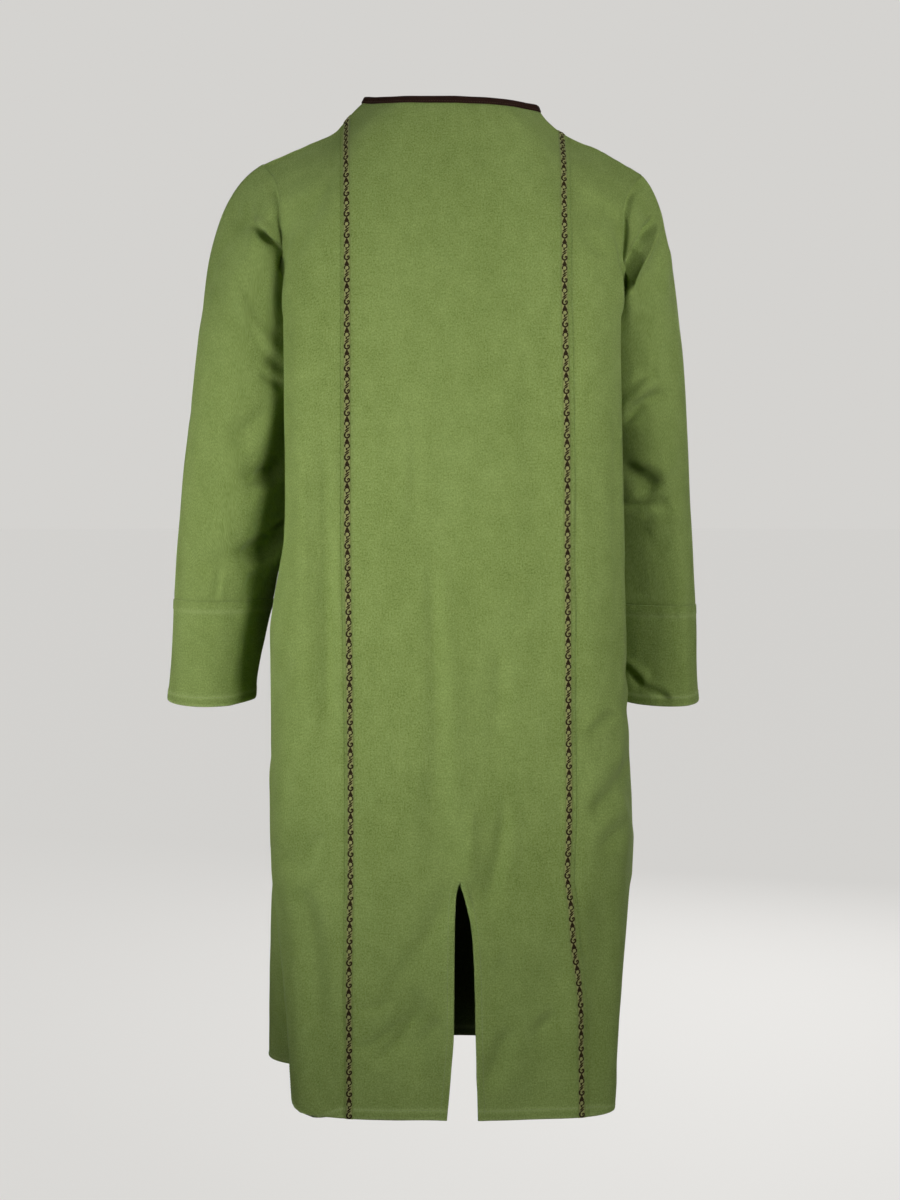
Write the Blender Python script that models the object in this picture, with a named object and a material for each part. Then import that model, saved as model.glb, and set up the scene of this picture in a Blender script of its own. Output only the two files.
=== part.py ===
import bisect
import functools
import math

import bmesh
import bpy
from mathutils import Vector

# Long cotton tunic, filled out as it is worn. Metres, +Z up, front towards -Y, wearer's left towards +X.
# The origin lies on the shoulder line, between the two sides of the neck.

# Cloth and seams
cloth = 0.0014  # thickness of the cotton
braid = 0.0010  # thickness of the scroll braid
binding = 0.0022  # thickness of the folded neck binding
seamGap = 0.0003
half = seamGap / 2

# Lengths of the body, as heights from the shoulder line
underarm = -0.255
slitTop = -0.912
backHem = -1.190
frontHem = -1.177
hemDepth = 0.013
backCornerLeft = 0.034  # rounding of the lower corners of the slits
backCornerRight = 0.012
frontCorner = 0.008

# Side slits: how far their edges stand open at the hem
backGape = 0.092
frontGape = 0.090
frontFlareLeft = 0.0120
frontFlareRight = -0.0155
frontTurn = 0.39  # how far the front's edges turn in again at the hem, as a share of a quarter turn

# Section of the body: how square it is, and how wide the hollow is that each arm presses into its side
backSquareness = 2.8
frontSquareness = 2.4
tuckSpan = 0.055

# Neck opening in plan, and its binding
neckLeft = 0.1106
neckRight = 0.1017
neckFront = 0.085
bindingHeight = 0.0100
bindingLift = 0.7  # how upright the binding stands
bindingProud = 0.0004  # how far it stands out from the cloth
bindingSwell = 0.0004  # how much fatter it is at half its height

# Shoulder line and armholes
shoulderLeft = 0.2295
shoulderRight = 0.2230
ridgeTop = 0.043
sleeveStartLeft = (0.90, -0.43)
sleeveStartRight = (0.78, -0.62)
sleeveStartUnder = (0.28, -0.96)
capFullLeft = 0.80  # how fully the sleeve head rounds over the shoulder
capFullRight = 0.56

# Braids and the panel seams beside them
braidWidth = 0.009
seamBesideLeft = 0.0066
seamBesideRight = 0.0088

# Sleeves
sleeveTop = -0.31
cuffTop = -0.592
cuffEndLeft = -0.7140
cuffEndRight = -0.7200
cuffTiltLeft = 0.0060  # how much lower the back of the cuff's edge is than its sides
cuffTiltRight = 0.0045
cuffRidge = 0.0008


def readTable(names, rows):
    return {name: [row[i] for row in rows] for i, name in enumerate(names)}


# Body, from hem to underarm: half widths seen from behind, depths of back and front centre,
# depth of each arm's hollow and the place of that arm along Y
bodyTable = readTable(
    ("height", "left", "right", "back", "front", "leftTuck", "rightTuck", "leftArm", "rightArm"),
    (
        (-1.190, 0.1930, 0.1894, 0.150, 0.170, 0.000, 0.000, -0.015, -0.055),
        (-1.110, 0.2000, 0.1944, 0.148, 0.165, 0.000, 0.000, -0.015, -0.055),
        (-1.050, 0.2068, 0.1999, 0.146, 0.160, 0.000, 0.000, -0.015, -0.055),
        (-0.972, 0.2168, 0.2085, 0.142, 0.153, 0.000, 0.000, -0.015, -0.055),
        (-0.912, 0.2245, 0.2143, 0.139, 0.147, 0.000, 0.000, -0.015, -0.055),
        (-0.857, 0.2255, 0.2167, 0.136, 0.142, 0.000, 0.000, -0.015, -0.055),
        (-0.800, 0.2250, 0.2128, 0.133, 0.138, 0.000, 0.004, -0.015, -0.055),
        (-0.750, 0.2230, 0.2100, 0.130, 0.136, 0.000, 0.010, -0.018, -0.055),
        (-0.665, 0.2235, 0.2068, 0.126, 0.133, 0.000, 0.020, -0.018, -0.052),
        (-0.630, 0.2240, 0.2050, 0.124, 0.131, 0.000, 0.028, -0.015, -0.048),
        (-0.591, 0.2185, 0.2030, 0.122, 0.130, 0.004, 0.036, -0.010, -0.045),
        (-0.555, 0.2110, 0.2022, 0.120, 0.129, 0.018, 0.043, -0.007, -0.040),
        (-0.510, 0.2040, 0.2013, 0.119, 0.128, 0.036, 0.048, -0.005, -0.034),
        (-0.430, 0.2023, 0.1990, 0.117, 0.127, 0.050, 0.054, -0.003, -0.024),
        (-0.340, 0.2023, 0.1964, 0.116, 0.127, 0.053, 0.056, -0.008, -0.018),
        (-0.290, 0.2023, 0.1952, 0.115, 0.126, 0.055, 0.057, -0.009, -0.016),
        (-0.255, 0.2023, 0.1952, 0.114, 0.126, 0.048, 0.050, -0.010, -0.014),
    ),
)

# Centre lines of back and front, from underarm height up to the line of the neck
backLine = readTable(
    ("height", "depth"),
    ((-0.255, 0.114), (-0.180, 0.111), (-0.120, 0.100), (-0.060, 0.079), (-0.005, 0.055), (0.043, 0.000)),
)
frontLine = readTable(
    ("height", "depth"),
    ((-0.255, 0.126), (-0.180, 0.123), (-0.120, 0.113), (-0.060, 0.087), (-0.005, 0.052), (0.043, 0.000)),
)

# Height of the back neck edge, from right to left
neckTable = readTable(
    ("across", "height"),
    ((-0.1017, -0.0076), (-0.087, -0.0090), (-0.060, -0.0078), (-0.030, -0.0062), (0.000, -0.0053),
     (0.040, -0.0048), (0.075, -0.0038), (0.095, -0.0020), (0.1106, 0.0020)),
)

# Shoulder line from the middle of the neck outwards, which stands up steeply beside the neck
ridgeTable = readTable(
    ("across", "left", "right"),
    (
        (0.000, 0.0430, 0.0430),
        (0.050, 0.0380, 0.0330),
        (0.090, 0.0185, 0.0060),
        (0.110, 0.0025, -0.0185),
        (0.125, -0.0125, -0.0308),
        (0.145, -0.0335, -0.0418),
        (0.170, -0.0443, -0.0520),
        (0.195, -0.0545, -0.0662),
        (0.230, -0.0697, -0.0868),
    ),
)

# Armholes, by the share of the way from underarm to shoulder
armholeTable = readTable(
    ("share", "leftX", "leftZ", "rightX", "rightZ", "backY", "frontY"),
    (
        (0.12, 0.1855, -0.248, 0.1790, -0.248, 0.016, -0.026),
        (0.30, 0.1965, -0.221, 0.1895, -0.223, 0.038, -0.050),
        (0.50, 0.2025, -0.174, 0.1950, -0.180, 0.057, -0.060),
        (0.70, 0.2045, -0.130, 0.1965, -0.138, 0.057, -0.054),
        (0.86, 0.2110, -0.096, 0.2035, -0.106, 0.035, -0.034),
    ),
)
frontArmholeInset = 0.009

# Sleeves and cuffs: outer and inner side, place along Y and half depth, ring by ring
sleeveTable = readTable(
    ("height", "leftOut", "leftIn", "leftY", "leftDeep", "rightOut", "rightIn", "rightY", "rightDeep"),
    (
        (-0.724, 0.3550, 0.2460, -0.022, 0.052, 0.3035, 0.2060, -0.056, 0.055),
        (-0.692, 0.3510, 0.2430, -0.022, 0.052, 0.3012, 0.2030, -0.055, 0.055),
        (-0.660, 0.3475, 0.2370, -0.021, 0.053, 0.2996, 0.2000, -0.053, 0.056),
        (-0.630, 0.3450, 0.2300, -0.020, 0.054, 0.2985, 0.1970, -0.050, 0.057),
        (-0.592, 0.3425, 0.2220, -0.016, 0.055, 0.2965, 0.1930, -0.046, 0.058),
        (-0.539, 0.3380, 0.2120, -0.010, 0.058, 0.2928, 0.1880, -0.040, 0.060),
        (-0.447, 0.3292, 0.1910, -0.003, 0.063, 0.2860, 0.1800, -0.026, 0.065),
        (-0.350, 0.3180, 0.1840, -0.006, 0.066, 0.2795, 0.1760, -0.018, 0.068),
        (-0.310, 0.3145, 0.1850, -0.010, 0.065, 0.2765, 0.1780, -0.018, 0.066),
    ),
)

# Lines of the braids, from hem to shoulder
braidTable = readTable(
    ("height", "left", "right"),
    (
        (-1.190, 0.1237, 0.1477),
        (-1.070, 0.1237, 0.1471),
        (-1.030, 0.1235, 0.1443),
        (-0.990, 0.1230, 0.1384),
        (-0.940, 0.1224, 0.1342),
        (-0.905, 0.1218, 0.1302),
        (-0.850, 0.1217, 0.1319),
        (-0.710, 0.1225, 0.1310),
        (-0.450, 0.1249, 0.1291),
        (-0.200, 0.1249, 0.1259),
        (0.000, 0.1290, 0.1277),
    ),
)

# Centre back slit: its two edges
slitTable = readTable(
    ("height", "left", "right"),
    (
        (-1.190, 0.0097, -0.0264),
        (-1.130, 0.0043, -0.0245),
        (-1.090, 0.0015, -0.0222),
        (-1.030, 0.0011, -0.0210),
        (-0.973, 0.0006, -0.0189),
        (-0.934, -0.0003, -0.0112),
        (-0.912, -0.0040, -0.0048),
    ),
)
backMiddle = readTable(("height", "across"), ((-0.912, -0.0044), (-0.600, -0.0030), (0.050, 0.0000)))

# Large soft folds seen from behind, each a line from one point to another, x and z
bodyFolds = readTable(
    ("x1", "z1", "x2", "z2", "width", "depth"),
    (
        (0.150, -0.440, 0.152, -0.730, 0.018, 0.0045),
        (-0.158, -0.400, -0.168, -0.640, 0.016, 0.0030),
        (0.060, -1.020, 0.030, -1.190, 0.030, 0.0050),
        (-0.110, -1.000, -0.100, -1.190, 0.028, 0.0050),
        (0.165, -0.960, 0.150, -1.190, 0.020, 0.0040),
    ),
)
leftSleeveFolds = readTable(
    ("x1", "z1", "x2", "z2", "width", "depth"),
    (
        (0.245, -0.135, 0.205, -0.200, 0.013, 0.0060),
        (0.262, -0.380, 0.220, -0.450, 0.018, 0.0045),
        (0.275, -0.555, 0.320, -0.540, 0.014, 0.0030),
    ),
)
rightSleeveFolds = readTable(
    ("x1", "z1", "x2", "z2", "width", "depth"),
    (
        (-0.246, -0.140, -0.200, -0.230, 0.014, 0.0065),
        (-0.215, -0.372, -0.262, -0.345, 0.014, 0.0045),
        (-0.225, -0.450, -0.265, -0.480, 0.016, 0.0035),
    ),
)

bodyHeights = (-0.870, -0.830, -0.790, -0.750, -0.710, -0.670, -0.635, -0.600, -0.560, -0.520, -0.480,
               -0.440, -0.400, -0.360, -0.320, -0.285, -0.255)
flapHeights = (-1.150, -1.110, -1.070, -1.030, -0.990, -0.950)
upperShares = (0.06, 0.14, 0.22, 0.31, 0.40, 0.50, 0.60, 0.69, 0.78, 0.86, 0.93, 1.0)
capShares = (0.0, 0.12, 0.25, 0.40, 0.55, 0.70, 0.85)
armHeights = (-0.310, -0.345, -0.380, -0.420, -0.460, -0.500, -0.540, -0.570, cuffTop)
cuffHeights = (cuffTop - seamGap, -0.606, -0.650, -0.703)
middleColumns = 5
sideColumns = 7
frontColumns = 11
frontNeckColumns = 5  # those of the front's columns that end on the neck edge


def smoothAt(table, name, key):
    # Smooth curve through a table's rows that never swings past them
    xs = next(iter(table.values()))
    ys = table[name]
    if xs[0] > xs[-1]:
        xs, ys = xs[::-1], ys[::-1]
    if key <= xs[0]:
        return ys[0]
    if key >= xs[-1]:
        return ys[-1]
    i = bisect.bisect_right(xs, key) - 1
    rises = [(ys[k + 1] - ys[k]) / (xs[k + 1] - xs[k]) for k in range(len(xs) - 1)]

    def slope(k):
        if k == 0:
            return rises[0]
        if k == len(xs) - 1:
            return rises[-1]
        before, after = rises[k - 1], rises[k]
        if before * after <= 0:
            return 0.0
        return 2 * before * after / (before + after)

    step = xs[i + 1] - xs[i]
    t = (key - xs[i]) / step
    return ((1 + 2 * t) * (1 - t) ** 2 * ys[i] + t * (1 - t) ** 2 * step * slope(i)
            + t * t * (3 - 2 * t) * ys[i + 1] + t * t * (t - 1) * step * slope(i + 1))


def eased(t):
    t = min(max(t, 0.0), 1.0)
    return t * t * (3 - 2 * t)


def foldDepth(folds, x, z):
    # Sum of soft troughs, each fading out at its two ends
    total = 0.0
    for x1, z1, x2, z2, width, depth in zip(*folds.values()):
        dx, dz = x2 - x1, z2 - z1
        length = math.hypot(dx, dz)
        along = ((x - x1) * dx + (z - z1) * dz) / length
        away = ((x - x1) * dz - (z - z1) * dx) / length
        fade = eased(along / (0.35 * length) + 0.5) * eased((length - along) / (0.35 * length) + 0.5)
        total += depth * fade * math.exp(-(away / width) ** 2)
    return total


def sideName(s):
    return "left" if s >= 0 else "right"


def openedBy(z):
    # How far down the side slit a height lies, 0 at its top and 1 at the hem
    return min(max((slitTop - z) / (slitTop - backHem), 0.0), 1.0)


def quarter(q, squareness, turn=0.0):
    # Share across and share of depth on a rounded square quarter section, or a little more than a quarter
    a, b = q ** (squareness / 2), (1 - q) ** (squareness / 2)
    angle = math.pi / 2 * a / (a + b) * (1 + turn)
    inward = math.copysign(abs(math.cos(angle)) ** (2 / squareness), math.cos(angle))
    return math.sin(angle) ** (2 / squareness), inward


@functools.lru_cache(maxsize=None)
def sectionAt(side, z):
    # Full half width, hollow and arm place at a height, so that the body is seen as wide as its table says
    seen = smoothAt(bodyTable, side, z)
    tuck = smoothAt(bodyTable, side + "Tuck", z)
    arm = smoothAt(bodyTable, side + "Arm", z)
    depth = smoothAt(bodyTable, "back", z)
    edge = backGape * openedBy(z)
    widths = []
    for k in range(12, 61):
        across, inward = quarter(k / 60, backSquareness)
        y = edge + (depth - edge) * inward
        widths.append(seen / across + tuck * math.exp(-((y - arm) / tuckSpan) ** 2))
    return min(widths), tuck, arm


@functools.lru_cache(maxsize=None)
def lowerPoint(face, s, z):
    # Body below the underarm. face 1 is the back and -1 the front, s runs from -1 to 1, right to left
    side = sideName(s)
    width, tuck, arm = sectionAt(side, z)
    opened = openedBy(z)
    if face > 0:
        depth, edge, squareness = smoothAt(bodyTable, "back", z), backGape * opened, backSquareness
    else:
        depth, edge, squareness = -smoothAt(bodyTable, "front", z), -frontGape * opened, frontSquareness
        if opened > 0:
            flare = frontFlareLeft if side == "left" else frontFlareRight
            width = sectionAt(side, slitTop)[0] + flare * opened
    across, inward = quarter(abs(s), squareness, frontTurn * opened if face < 0 else 0.0)
    y = edge + (depth - edge) * inward
    x = across * (width - tuck * math.exp(-((y - arm) / tuckSpan) ** 2))
    x = math.copysign(x, s)
    if face > 0:
        y -= foldDepth(bodyFolds, x, z) * inward
    return Vector((x, y, z))


def ridgePoint(s):
    across = abs(s) * (shoulderLeft if s >= 0 else shoulderRight)
    return Vector((math.copysign(across, s), 0.0, smoothAt(ridgeTable, sideName(s), across)))


def armholePoint(face, side, t):
    # Edge of the armhole from the underarm, t 0, to the shoulder, t 1
    sign = 1 if side == "left" else -1
    low = lowerPoint(face, sign, underarm)
    tip = ridgePoint(sign)
    shares = [0.0] + armholeTable["share"] + [1.0]
    depths = armholeTable["backY" if face > 0 else "frontY"]
    inset = 0.0 if face > 0 else frontArmholeInset
    fullX = [x - inset * math.sin(math.pi * share)
             for x, share in zip(armholeTable[side + "X"], armholeTable["share"])]
    curve = {
        "share": shares,
        "x": [abs(low.x)] + fullX + [abs(tip.x)],
        "y": [low.y] + depths + [tip.y],
        "z": [low.z] + armholeTable[side + "Z"] + [tip.z],
    }
    return Vector((sign * smoothAt(curve, "x", t), smoothAt(curve, "y", t), smoothAt(curve, "z", t)))


@functools.lru_cache(maxsize=None)
def upperPoint(face, s, t):
    # Body above the underarm, t from 0 there to 1 on the shoulder line
    side = sideName(s)
    sign = 1 if s >= 0 else -1
    line = backLine if face > 0 else frontLine
    high = underarm + (ridgeTop - underarm) * t
    middle = Vector((0.0, face * smoothAt(line, "depth", high), high))
    up = eased(t)
    q = abs(s)
    nearArm = q ** 4 * (5 - 4 * q)
    point = lowerPoint(face, s, underarm) * (1 - up) + ridgePoint(s) * up
    point += (1 - nearArm) * (middle - lowerPoint(face, 0.0, underarm) * (1 - up) - ridgePoint(0.0) * up)
    point += nearArm * (armholePoint(face, side, t) - lowerPoint(face, sign, underarm) * (1 - up)
                        - ridgePoint(sign) * up)
    return point


def surface(face, s, level):
    # level is the height from the underarm where it is negative, and the share up to the shoulder above it
    s = min(max(s, -1.0), 1.0)
    if level < 0:
        return lowerPoint(face, s, underarm + level)
    return upperPoint(face, s, min(level, 1.0))


def normalAt(face, s, level):
    step = 0.004
    across = surface(face, s + step, level) - surface(face, s - step, level)
    upward = surface(face, s, level + step) - surface(face, s, level - step)
    return (upward.cross(across) * face).normalized()


def shareAt(face, x, level):
    # Place s on a row where the body reaches x
    sign = 1 if x >= 0 else -1
    low, high = 0.0, 0.85
    for _ in range(40):
        middle = (low + high) / 2
        if abs(surface(face, sign * middle, level).x) < abs(x):
            low = middle
        else:
            high = middle
    return sign * (low + high) / 2


def movedShare(face, s, level, distance):
    # s moved along its row by a distance, towards the left where that is positive
    reach = (surface(face, s + 0.01, level) - surface(face, s - 0.01, level)).length
    span = min(s + 0.01, 1.0) - max(s - 0.01, -1.0)
    return s + distance * span / reach


def neckShare(face, s):
    # Share up to the shoulder line where the neck opening cuts the body
    wide = neckLeft if s >= 0 else neckRight
    if abs(ridgePoint(s).x) >= wide - 0.0001:
        return 1.0
    low, high = 0.3, 1.0
    for _ in range(40):
        middle = (low + high) / 2
        point = surface(face, s, middle)
        if face > 0:
            below = point.z < smoothAt(neckTable, "height", point.x)
        else:
            below = (point.x / wide) ** 2 + (point.y / neckFront) ** 2 > 1
        if below:
            low = middle
        else:
            high = middle
    return (low + high) / 2


def cornerInset(radius, above):
    # Rounded lower corner of a slit: how far its edge is cut back at a height above the hem
    if above >= radius:
        return 0.0
    return radius - math.sqrt(radius ** 2 - (radius - above) ** 2)


def levelsFrom(hem):
    heights = (hem, hem + 0.004, hem + hemDepth) + flapHeights + (slitTop,) + bodyHeights
    return [z - underarm for z in heights[:-1]] + [0.0] + list(upperShares)


# One collection for the whole garment
for item in list(bpy.data.objects):
    bpy.data.objects.remove(item)
garment = bpy.data.collections.new("fantasy_tunic")
bpy.context.scene.collection.children.link(garment)


def makeMaterial(name, colour, roughness):
    material = bpy.data.materials.new(name)
    material.use_nodes = True
    shader = material.node_tree.nodes["Principled BSDF"]
    shader.inputs["Base Color"].default_value = (*colour, 1.0)
    shader.inputs["Roughness"].default_value = roughness
    shader.inputs["Metallic"].default_value = 0.0
    return material


cottonLook = makeMaterial("moss_cotton", (0.175, 0.235, 0.085), 0.85)
bindingLook = makeMaterial("brown_binding", (0.028, 0.009, 0.005), 0.70)
braidLook = makeMaterial("brown_braid", (0.024, 0.013, 0.007), 0.75)


def makeWall(name, outer, inner, cells, material):
    # A cloth wall between two lofted surfaces, closed by a rim along each free edge
    mesh = bmesh.new()
    outerVerts = {key: mesh.verts.new(point) for key, point in outer.items()}
    innerVerts = {key: mesh.verts.new(point) for key, point in inner.items()}
    sides = {}
    for a, b, c, d in cells:
        # both surfaces are split along the same diagonal, so that a twisted cell keeps its thickness
        short = (outer[a] - outer[c]).length <= (outer[b] - outer[d]).length
        for cell in ((a, b, c), (a, c, d)) if short else ((a, b, d), (b, c, d)):
            mesh.faces.new([outerVerts[key] for key in cell])
            mesh.faces.new([innerVerts[key] for key in reversed(cell)])
            for start, end in zip(cell, cell[1:] + cell[:1]):
                sides[(start, end)] = True
    for start, end in sides:
        if (end, start) not in sides:
            mesh.faces.new([outerVerts[end], outerVerts[start], innerVerts[start], innerVerts[end]])
    bmesh.ops.recalc_face_normals(mesh, faces=mesh.faces)
    data = bpy.data.meshes.new(name)
    mesh.to_mesh(data)
    mesh.free()
    data.shade_smooth()
    data.set_sharp_from_angle(angle=math.radians(50))
    data.materials.append(material)
    garment.objects.link(bpy.data.objects.new(name, data))


def gridCells(rows, columns, closed=False):
    last = columns if closed else columns - 1
    return [((r, c), (r, (c + 1) % columns), (r + 1, (c + 1) % columns), (r + 1, c))
            for r in range(rows - 1) for c in range(last)]


# Armholes: for each point round the hole, where the sleeve starts and which way the cut edges face
def armholeLoop(side):
    sign = 1 if side == "left" else -1
    start = sleeveStartLeft if side == "left" else sleeveStartRight
    stops = [(1, t) for t in reversed(upperShares)] + [(1, 0.0)] + [(-1, t) for t in upperShares[:-1]]
    points = [armholePoint(face, side, t) for face, t in stops]
    count = len(points)
    under = len(upperShares)
    lengths = [(points[(k + 1) % count] - points[k]).length for k in range(count)]
    backLength, frontLength = sum(lengths[:under]), sum(lengths[under:])
    loop = []
    for k, (face, t) in enumerate(stops):
        if k <= under:
            angle = math.pi * sum(lengths[:k]) / backLength
        else:
            angle = math.pi + math.pi * sum(lengths[under:k]) / frontLength
        tangent = (points[(k + 1) % count] - points[k - 1]).normalized()
        bodyNormal = normalAt(1, sign, t) + normalAt(-1, sign, t) if t in (0.0, 1.0) else normalAt(face, sign, t)
        bodyNormal.normalize()
        top = (1 + math.cos(angle)) / 2
        leave = Vector((sign * (start[0] * top + sleeveStartUnder[0] * (1 - top)), 0.0,
                        start[1] * top + sleeveStartUnder[1] * (1 - top))).normalized()
        sleeveNormal = (leave.cross(tangent) * sign).normalized()
        outward = (tangent.cross(bodyNormal) * sign).normalized()
        shared = bodyNormal + sleeveNormal
        shared -= shared.dot(tangent) * tangent
        mitre = min(2 / max(shared.length, 0.01), 1.45)
        shared.normalize()
        blend = eased((bodyNormal.dot(sleeveNormal) + 0.5) / 0.5)
        away = outward + leave
        away -= away.dot(tangent) * tangent + away.dot(shared) * shared
        away.normalize()
        bodyRim = -(bodyNormal * (1 - blend) + shared * mitre * blend)
        sleeveRim = -(sleeveNormal * (1 - blend) + shared * mitre * blend)
        loop.append({"face": face, "t": t, "angle": angle, "point": points[k], "leave": leave,
                     "first": points[k] + away * seamGap, "bodyRim": bodyRim, "sleeveRim": sleeveRim})
    return loop


loops = {side: armholeLoop(side) for side in ("left", "right")}


def bodyRimAt(face, side, t):
    for stop in loops[side]:
        if stop["t"] == t and (stop["face"] == face or t in (0.0, 1.0)):
            return stop["bodyRim"]
    return None


def shoulderRim(s):
    # Rim of the shoulder seam, square to the shoulder line
    step = 0.01
    along = ridgePoint(min(s + step, 1.0)) - ridgePoint(max(s - step, -1.0))
    return Vector((along.z, 0.0, -along.x)).normalized()


def panelPoints(face, places, inner, outer, key):
    # One row of a panel: its outer point on the body and the inner point one cloth below it
    s, level = places
    point = surface(face, s, level)
    rim = -normalAt(face, s, level)
    if level >= 1.0:
        point = Vector((point.x, face * half, point.z))
        rim = shoulderRim(s)
    if abs(s) >= 1.0 and level >= 0:
        rim = bodyRimAt(face, sideName(s), level)
        if level == 0:
            point = point + Vector((0.0, face * half, 0.0))
    outer[key] = point
    inner[key] = point + rim * cloth


# Columns of the centre back: s of the braid's two edges and of the panel seam on each row
def braidShares(side, level):
    sign = 1 if side == "left" else -1
    beside = seamBesideLeft if side == "left" else seamBesideRight
    z = underarm + level if level < 0 else upperPoint(1, sign * 0.55, level).z
    line = smoothAt(braidTable, side, z)
    if level >= 1.0:
        return [sign * x / (shoulderLeft if sign > 0 else shoulderRight)
                for x in (line - braidWidth / 2, line + braidWidth / 2, line + beside)]
    return [shareAt(1, sign * x, level) for x in (line - braidWidth / 2, line + braidWidth / 2, line + beside)]


backLevels = levelsFrom(backHem)
frontLevels = levelsFrom(frontHem)
slitRow = 3 + len(flapHeights)
braids = {side: [braidShares(side, level) for level in backLevels] for side in ("left", "right")}
neckColumn = {
    "left": neckLeft / shoulderLeft / braids["left"][-1][0],
    "right": neckRight / shoulderRight / -braids["right"][-1][0],
}


def middleShare(level):
    z = underarm + level if level < 0 else underarm + (ridgeTop - underarm) * level
    return smoothAt(backMiddle, "across", z) / smoothAt(bodyTable, "left", min(z, underarm))


def makeBackCentre():
    outer, inner, cells = {}, {}, []
    last = middleColumns + 2
    for r, level in enumerate(backLevels):
        for side, sign in (("right", -1), ("left", 1)):
            inward, outwardEdge, seam = braids[side][r]
            seam = movedShare(1, seam, level, -sign * half)
            if r < slitRow:
                middle = shareAt(1, smoothAt(slitTable, side, underarm + level), level)
            else:
                middle = middleShare(level)
            shares = [neckColumn[side] * k / middleColumns for k in range(middleColumns + 1)]
            for c, share in enumerate(shares + [1.0]):
                key = (r, sign * c) if (c > 0 or r >= slitRow) else (r, sign * 0.5)
                s = middle + (inward - middle) * share
                rise = neckShare(1, braids[side][-1][0] * share) if level > 0 else 1.0
                panelPoints(1, (s, level * rise), inner, outer, key)
            panelPoints(1, (outwardEdge, level), inner, outer, (r, sign * last))
            panelPoints(1, (seam, level), inner, outer, (r, sign * (last + 1)))
    for r in range(len(backLevels) - 1):
        for c in range(-last - 1, last + 1):
            corners = ((r, c), (r, c + 1), (r + 1, c + 1), (r + 1, c))
            onRight = c < 0
            cell = []
            for row, column in corners:
                if column == 0 and row < slitRow:
                    column = -0.5 if onRight else 0.5
                cell.append((row, column))
            cells.append(tuple(cell))
    makeWall("back_centre", outer, inner, cells, cottonLook)
    # the neck edge of the panel, for the binding
    return [braids[sideName(c)][-1][0] * neckColumn[sideName(c)] * abs(c) / middleColumns
            for c in range(-middleColumns, middleColumns + 1)]


neckEdge = makeBackCentre()


def makeBackSide(side):
    sign = 1 if side == "left" else -1
    radius = backCornerLeft if side == "left" else backCornerRight
    outer, inner = {}, {}
    for r, level in enumerate(backLevels):
        seam = movedShare(1, braids[side][r][2], level, sign * half)
        edge = float(sign)
        if level < 0:
            inset = cornerInset(radius, underarm + level - backHem) + half
            edge = movedShare(1, edge, level, -sign * inset)
        for c in range(sideColumns + 1):
            share = c / sideColumns
            panelPoints(1, (seam + (edge - seam) * share, level), inner, outer, (r, c))
    makeWall("back_side_" + side, outer, inner, gridCells(len(backLevels), sideColumns + 1), cottonLook)


def makeFront():
    outer, inner = {}, {}
    neckPlace = {"left": neckLeft / shoulderLeft, "right": neckRight / shoulderRight}
    for r, level in enumerate(frontLevels):
        for c in range(-frontColumns, frontColumns + 1):
            side, sign = sideName(c), (1 if c >= 0 else -1)
            place = neckPlace[side]
            if abs(c) <= frontNeckColumns:
                share = place * abs(c) / frontNeckColumns
            else:
                share = place + (1 - place) * (abs(c) - frontNeckColumns) / (frontColumns - frontNeckColumns)
            s = sign * share
            rise = neckShare(-1, s) if level > 0 else 1.0
            if level < 0:
                inset = cornerInset(frontCorner, underarm + level - frontHem) + half
                s = s * abs(movedShare(-1, float(sign), level, -sign * inset))
            panelPoints(-1, (s, level * rise), inner, outer, (r, c + frontColumns))
    makeWall("front", outer, inner, gridCells(len(frontLevels), 2 * frontColumns + 1), cottonLook)
    return [neckPlace[sideName(c)] * c / frontNeckColumns for c in range(-frontNeckColumns, frontNeckColumns + 1)]


makeBackSide("left")
makeBackSide("right")
frontNeckEdge = makeFront()


# Braids: made from the points of the panel under them, moved out
def makeBraid(side):
    sign = 1 if side == "left" else -1
    outer, inner = {}, {}
    for r, level in enumerate(backLevels):
        for c, s in enumerate(braids[side][r][:2]):
            point = surface(1, s, level)
            if level >= 1.0:
                point = Vector((point.x, half, point.z))
            out = normalAt(1, s, level)
            inner[(r, c)] = point + out * seamGap
            outer[(r, c)] = point + out * (seamGap + braid)
    makeWall("trim_" + side, outer, inner, gridCells(len(backLevels), 2), braidLook)


makeBraid("left")
makeBraid("right")


# Neck binding: a band that stands on the neck edge all round
def makeBinding():
    stations = [(1, s) for s in neckEdge] + [(-1, s) for s in reversed(frontNeckEdge[1:-1])]
    outer, inner = {}, {}
    bases, normals = [], []
    for face, s in stations:
        level = neckShare(face, s)
        point = surface(face, s, level)
        normal = normalAt(face, s, level)
        if level >= 1.0:
            normal = (normalAt(1, s, 1.0) + normalAt(-1, s, 1.0)).normalized()
        bases.append(point)
        normals.append(normal)
    count = len(bases)
    for k, (point, normal) in enumerate(zip(bases, normals)):
        along = (bases[(k + 1) % count] - bases[k - 1]).normalized()
        rise = along.cross(normal).normalized()
        if rise.z < 0:
            rise = -rise
        rise = (rise + Vector((0.0, 0.0, bindingLift))).normalized()
        for r, (share, swell) in enumerate(((0.0, 0.0), (0.5, bindingSwell), (1.0, 0.0))):
            foot = point + rise * (seamGap + bindingHeight * share)
            outer[(r, k)] = foot + normal * (bindingProud + swell)
            inner[(r, k)] = foot + normal * (bindingProud - swell - binding)
    makeWall("neck_binding", outer, inner, gridCells(3, count, True), bindingLook)


makeBinding()


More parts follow.
